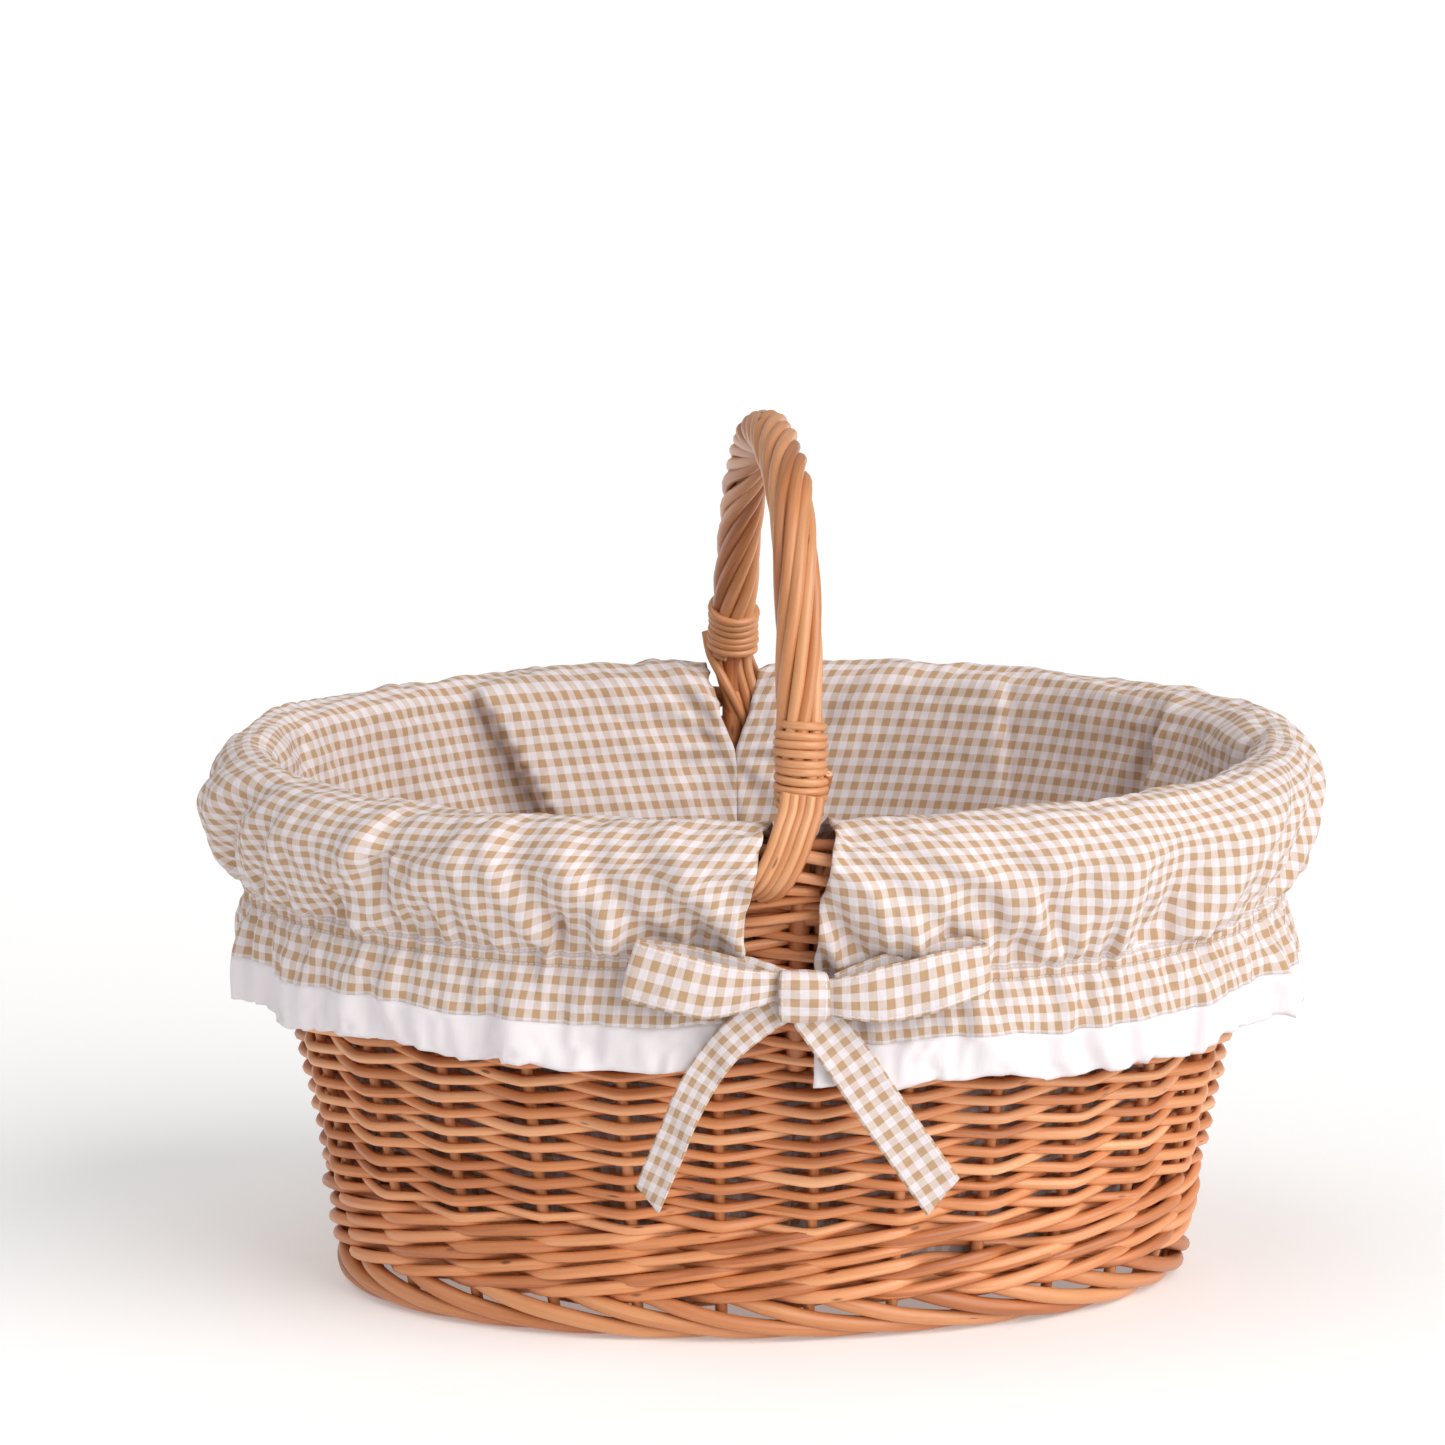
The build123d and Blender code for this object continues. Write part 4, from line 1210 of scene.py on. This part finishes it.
def thicken(piece: bpy.types.Object, thickness: float, offset: float) -> None:
    """Gives a cloth its thickness in millimetres, to one side of its mesh or to both."""
    solid = piece.modifiers.new("thickness", "SOLIDIFY")
    solid.thickness = thickness * MM
    solid.offset = offset


@dataclass
class Liner:
    """The liner: two halves, the oval panel on the floor, and the elastic in the casings."""

    finishes: Finishes

    def form(self) -> bpy.types.Object:
        """The wall and border as one smooth closed ring, for the cloth to settle on."""
        outline = np.array([(150, 6.5), (192, 7.5), (201, 11), (209, 12), (216, 11), (221, 6), (222, 2),
                            (221, -2),
                            (216, -7), (201, -7), (192, -6.5), (150, -6.5), (150, 6.5)], dtype=float)
        share = np.linspace(0, 1, 180, endpoint=False)[None, :]
        points = OVAL.point(share, outline[:, :1], outline[:, 1:])
        ring = grid_skin(points, np.zeros((len(outline), 181, 2)), around=True).build("form", [])
        ring.modifiers.new("form", "COLLISION")
        ring.collision.thickness_outer = 0.0012
        ring.collision.cloth_friction = 12.0
        return ring

    def floor(self) -> None:
        """The oval floor panel: a square grid pressed to an oval by x sqrt(1 - y^2 / 2), softly creased."""
        t = np.linspace(-1, 1, 90)
        x, y = np.meshgrid(t, t)
        points = np.stack([164.5 * x * np.sqrt(1 - y**2 / 2), 102.0 * y * np.sqrt(1 - x**2 / 2),
                           np.zeros_like(x)], axis=-1)
        creases = Waver(220, (52, 83, 140), (0.18, 0.22, 0.3))(points[..., 0] + 0.4 * points[..., 1])
        points[..., 2] = 19.4 + 0.5 * creases
        piece = grid_skin(points, points[..., :2] * MM).build("liner_floor_cloth", [self.finishes.gingham])
        thicken(piece, 0.8, -1.0)
        settle_in(piece, ["liner_floor"])

    def elastic(self, half: Half) -> None:
        """The flat elastic inside the casing, hidden behind the gathers."""
        share = np.linspace(0.02, 0.48, 200)[None, :]
        height = np.linspace(161.2, 164.8, 3)[:, None]
        ripple = 0.25 * np.sin(share * OVAL.way_round / 1.6)
        points = turned(OVAL.point(share, height, 42.8 - OVAL.grow(height) + ripple), half.value)
        uv = np.stack(np.broadcast_arrays(share * 1.2, height * MM), axis=-1)
        name = half.name.lower()
        piece = grid_skin(points, uv).build(f"elastic_band_{name}", [self.finishes.white])
        thicken(piece, 0.7, 0.0)
        settle_in(piece, [f"elastic_{name}"])

    def build(self) -> None:
        """Builds the cloth, letting it settle on the wall."""
        ring = self.form()
        for half in Half:
            LinerHalf(self.finishes, half).build()
            self.elastic(half)
        if ring:
            mesh = ring.data
            bpy.data.objects.remove(ring)
            bpy.data.meshes.remove(mesh)
        self.floor()


@dataclass
class Bow:
    """A ribbon bow: the knot, two pressed loops, the ribbon from the casing, and two hanging tails."""

    finishes: Finishes
    place: Place
    ribbon_half: float = 9.6
    knot_middle: tuple = (-0.9, -167.0, 158.7)
    left_loop: tuple = ((-4, -165.6, 160.0, 6.5), (-11.5, -167.4, 162.6, 6.0), (-20, -169.4, 162.4, 7.6),
                        (-28.5, -170.2, 161.8, 9.8), (-38, -170.2, 162.2, 11.6), (-48.5, -168.8, 164.4, 12.0),
                        (-58.3, -166.4, 166.7, 12.2), (-66.5, -163.2, 168.6, 12.2),
                        (-69.6, -161.2, 169.4, 12.2),
                        (-69.0, -159.4, 169.8, 12.0), (-62, -158.9, 169.6, 11.2), (-48, -159.9, 168.2, 10.4),
                        (-30, -162.2, 165.0, 9.6), (-14, -163.9, 162.0, 7.0))
    right_loop: tuple = ((3, -165.6, 158.2, 7.0), (11, -167.2, 157.8, 7.6), (20, -169.2, 158.2, 9.4),
                         (30.3, -170.4, 159.2, 11.4), (40, -170.2, 160.8, 11.8), (50.6, -168.6, 162.8, 11.9),
                         (62, -165.6, 165.0, 11.2), (70.5, -162.2, 166.2, 10.2), (74.2, -159.6, 166.8, 9.6),
                         (73.4, -157.6, 168.0, 9.6), (66, -157.4, 169.4, 9.8), (50, -159.4, 167.6, 10.2),
                         (30, -162.4, 163.4, 9.8), (12, -164.3, 159.6, 7.0))
    left_tail: tuple = ((-5, -165.8, 156.0, 6.4), (-11.9, -166.4, 153.2, 7.2), (-19.6, -166.0, 148.3, 7.3),
                        (-30.8, -165.0, 138.8, 7.1), (-40.2, -164.2, 126.8, 7.0), (-47.0, -163.8, 114.0, 7.0),
                        (-53.2, -163.6, 99.4, 7.2), (-63.4, -163.8, 75.0, 7.3))
    right_tail: tuple = ((-1.0, -165.6, 156.0, 7.0), (3.0, -165.6, 150.5, 8.6), (8.6, -164.9, 143.6, 9.3),
                         (18.9, -163.8, 129.2, 9.7), (30.4, -163.4, 111.5, 9.8), (41.8, -163.3, 94.8, 9.8),
                         (56.6, -163.9, 73.0, 9.8))

    def ribbon(self, name: str, route: Array, across: Array, samples: int, crown: float = 0.5,
               closed: bool = False, slant: float = 0.0) -> bpy.types.Object:
        """A flat ribbon carried along a route: route + width * c * across + crown * (1 - c^2) * face.

        Args:
            name: the name of the piece.
            route: corners of the middle line, each x, y, z and the half width there.
            across: (corners, 3) direction across the ribbon at each corner.
            samples: how many rows the ribbon has.
            crown: how far its middle stands out of its edges.
            closed: whether the route comes back to its start.
            slant: how far one corner of the cut end runs past its middle.

        Returns:
            The new object.
        """
        joined = np.column_stack([route[:, :3], across, route[:, 3]])
        middle = smooth_line(route[:, :3], samples)
        key = np.concatenate([[0.0], np.cumsum(np.linalg.norm(np.diff(joined[:, :3], axis=0), axis=1))])
        run = np.concatenate([[0.0], np.cumsum(np.linalg.norm(np.diff(middle, axis=0), axis=1))])
        at = run * key[-1] / run[-1]
        lie = unit(np.stack([np.interp(at, key, joined[:, 3 + axis]) for axis in range(3)], axis=-1))
        half = np.interp(at, key, joined[:, 6])
        tangent = unit(np.gradient(middle, axis=0))
        if closed:
            tangent[0] = tangent[-1] = unit(middle[1] - middle[-2])
        face = unit(np.cross(tangent, lie))
        c = np.linspace(-1, 1, 13)
        points = (middle[:, None] + (half[:, None] * c)[..., None] * lie[:, None]
                  + (crown * (1 - c**2))[None, :, None] * face[:, None])
        seed = sum(name.encode())
        crease = Waver(seed, (17, 29, 43), (0.22, 0.36, 0.3))(run[:, None] + 6 * c[None, :])
        points = points + crease[..., None] * face[:, None] * ease(run, 4, 16)[:, None, None]
        skew = slant * c[None, :] * ease(run, run[-1] - 30, run[-1])[:, None]
        points = points + skew[..., None] * tangent[:, None]
        uv = np.stack(np.broadcast_arrays(run[:, None] + skew, self.ribbon_half * c[None, :]), axis=-1) * MM
        piece = grid_skin(turned(points, self.place.value), uv).build(name, [self.finishes.ribbon])
        thicken(piece, 1.0, 0.0)
        return piece

    def knot(self) -> None:
        """The band of ribbon round the middle: a rounded box outline in the side view."""
        turn = np.linspace(0, TAU, 41) + math.pi
        cos, sin = np.cos(turn), np.sin(turn)
        x, y, z = self.knot_middle
        route = np.column_stack([np.full(41, x), y - 5.4 * np.sign(cos) * np.abs(cos) ** 0.6,
                                 z + 9.6 * np.sign(sin) * np.abs(sin) ** 0.6,
                                 10.3 - 0.9 * np.abs(sin) ** 3 - 2.0 * (cos < 0)])
        across = np.tile([1.0, 0.0, -0.03], (41, 1))
        name = self.place.name.lower()
        piece = self.ribbon(f"bow_knot_{name}_ribbon", route, across, 90, crown=-0.7, closed=True)
        settle_in(piece, [f"bow_knot_{name}"])

    def loop(self, side: int) -> None:
        """One loop: the ribbon runs out, folds over at the tip and comes back a little higher behind."""
        route = np.array(self.left_loop if side < 0 else self.right_loop)
        count = len(route)
        lean = np.linspace(0.0, 0.34 if side < 0 else -0.1, count // 2).tolist()
        lean = np.array(lean + lean[::-1])
        across = np.column_stack([lean, np.full(count, 0.08), np.ones(count)])
        name = f"{self.place.name.lower()}_{'left' if side < 0 else 'right'}"
        piece = self.ribbon(f"bow_loop_{name}_ribbon", route, across, 120, crown=0.9 * side)
        settle_in(piece, [f"bow_loop_{name}"])

    def tie(self) -> None:
        """The short ribbon that comes out of the left casing and runs into the knot."""
        route = np.array([(-28.0, -160.2, 170.0, 5.0), (-22, -161.6, 168.4, 5.5), (-15, -163.0, 166.0, 5.6),
                          (-6, -164.2, 163.0, 5.0)])
        across = np.tile([0.3, 0.0, 1.0], (4, 1))
        name = self.place.name.lower()
        piece = self.ribbon(f"bow_tie_{name}_ribbon", route, across, 24)
        settle_in(piece, [f"bow_tie_{name}"])

    def tail(self, side: int) -> None:
        """One tail: it leaves the knot sideways and hangs below the knot."""
        route = np.array(self.left_tail if side < 0 else self.right_tail)
        along = unit(np.gradient(route[:, :3], axis=0))
        turn = np.linspace(0.15, 0.72, len(route)) if side < 0 else np.linspace(-0.2, -0.05, len(route))
        face = np.column_stack([-np.sin(turn), -np.cos(turn), np.zeros(len(route))])
        across = unit(np.cross(along, face))
        place = self.place.name.lower()
        name = f"{place}_{'left' if side < 0 else 'right'}"
        piece = self.ribbon(f"bow_tail_{name}_ribbon", route, across, 80, slant=2.6 * side)
        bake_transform(piece)
        settle_in(piece, [f"bow_tail_{name}"], body="")

    def build(self) -> None:
        """Builds the whole bow."""
        self.knot()
        self.tie()
        for side in (-1, 1):
            self.loop(side)
            self.tail(side)


# ---------------------------------------------------------------- stage


@dataclass
class Studio:
    """A pale floor, soft light from all round and a large soft key from the right, and the camera."""

    azimuth: float = -5.27
    elevation: float = 11.60
    aim: tuple = (-17.87, 0.0, 236.70)
    distance: float = 3600.0
    lens: float = 214.7
    floor_half: float = 20.0

    def floor(self) -> None:
        """A large pale matt floor at the standing plane."""
        mesh = bpy.data.meshes.new("floor")
        half = self.floor_half
        mesh.from_pydata([(-half, -half, 0), (half, -half, 0), (half, half, 0), (-half, half, 0)], [],
                         [(0, 1, 2, 3)])
        material, _, shader = new_material("pale floor")
        shader.inputs["Base Color"].default_value = linear("#e8e8e8")
        shader.inputs["Emission Color"].default_value = linear("#ffffff")
        shader.inputs["Emission Strength"].default_value = 0.26
        shader.inputs["Roughness"].default_value = 0.9
        mesh.materials.append(material)
        floor = bpy.data.objects.new("floor", mesh)
        bpy.context.scene.collection.objects.link(floor)

    def light(self) -> None:
        """Soft light: a white surround and a wide sun from the upper right front."""
        world = bpy.data.worlds.new("studio")
        world.use_nodes = True
        surround = world.node_tree.nodes["Background"]
        surround.inputs["Color"].default_value = (1.0, 0.99, 0.985, 1.0)
        surround.inputs["Strength"].default_value = 0.34
        bpy.context.scene.world = world
        sun = bpy.data.lights.new("key", "SUN")
        sun.energy = 2.7
        sun.angle = math.radians(60)
        sun.color = (1.0, 0.985, 0.97)
        key = bpy.data.objects.new("key", sun)
        key.rotation_euler = (math.radians(60), 0.0, math.radians(46))
        bpy.context.scene.collection.objects.link(key)
        above = bpy.data.lights.new("top", "SUN")
        above.energy = 0.7
        above.angle = math.radians(60)
        top = bpy.data.objects.new("top", above)
        top.rotation_euler = (math.radians(30), 0.0, math.radians(-60))
        bpy.context.scene.collection.objects.link(top)

    def camera(self) -> None:
        """A long lens at the viewing angle, looking straight at its aim."""
        turn, rise = math.radians(self.azimuth), math.radians(self.elevation)
        lens = bpy.data.cameras.new("view")
        lens.lens = self.lens
        lens.clip_end = 100.0
        camera = bpy.data.objects.new("view", lens)
        back = (math.sin(turn) * math.cos(rise), -math.cos(turn) * math.cos(rise), math.sin(rise))
        camera.location = [(a + b * self.distance) * MM for a, b in zip(self.aim, back)]
        camera.rotation_euler = (math.pi / 2 - rise, 0.0, turn)
        bpy.context.scene.collection.objects.link(camera)
        bpy.context.scene.camera = camera

    def build(self) -> None:
        """Builds the stage."""
        self.floor()
        self.light()
        self.camera()
        bpy.context.scene.view_settings.view_transform = "Standard"


def main() -> None:
    """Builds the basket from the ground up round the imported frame."""
    logging.basicConfig(level=logging.INFO, format="%(name)s: %(message)s")
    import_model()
    Studio().build()
    finishes = Finishes()
    Base(finishes).build()
    SideWall(finishes).build()
    Handle(finishes).build()
    Liner(finishes).build()
    for place in Place:
        Bow(finishes, place).build()


if __name__ == "__main__":
    main()
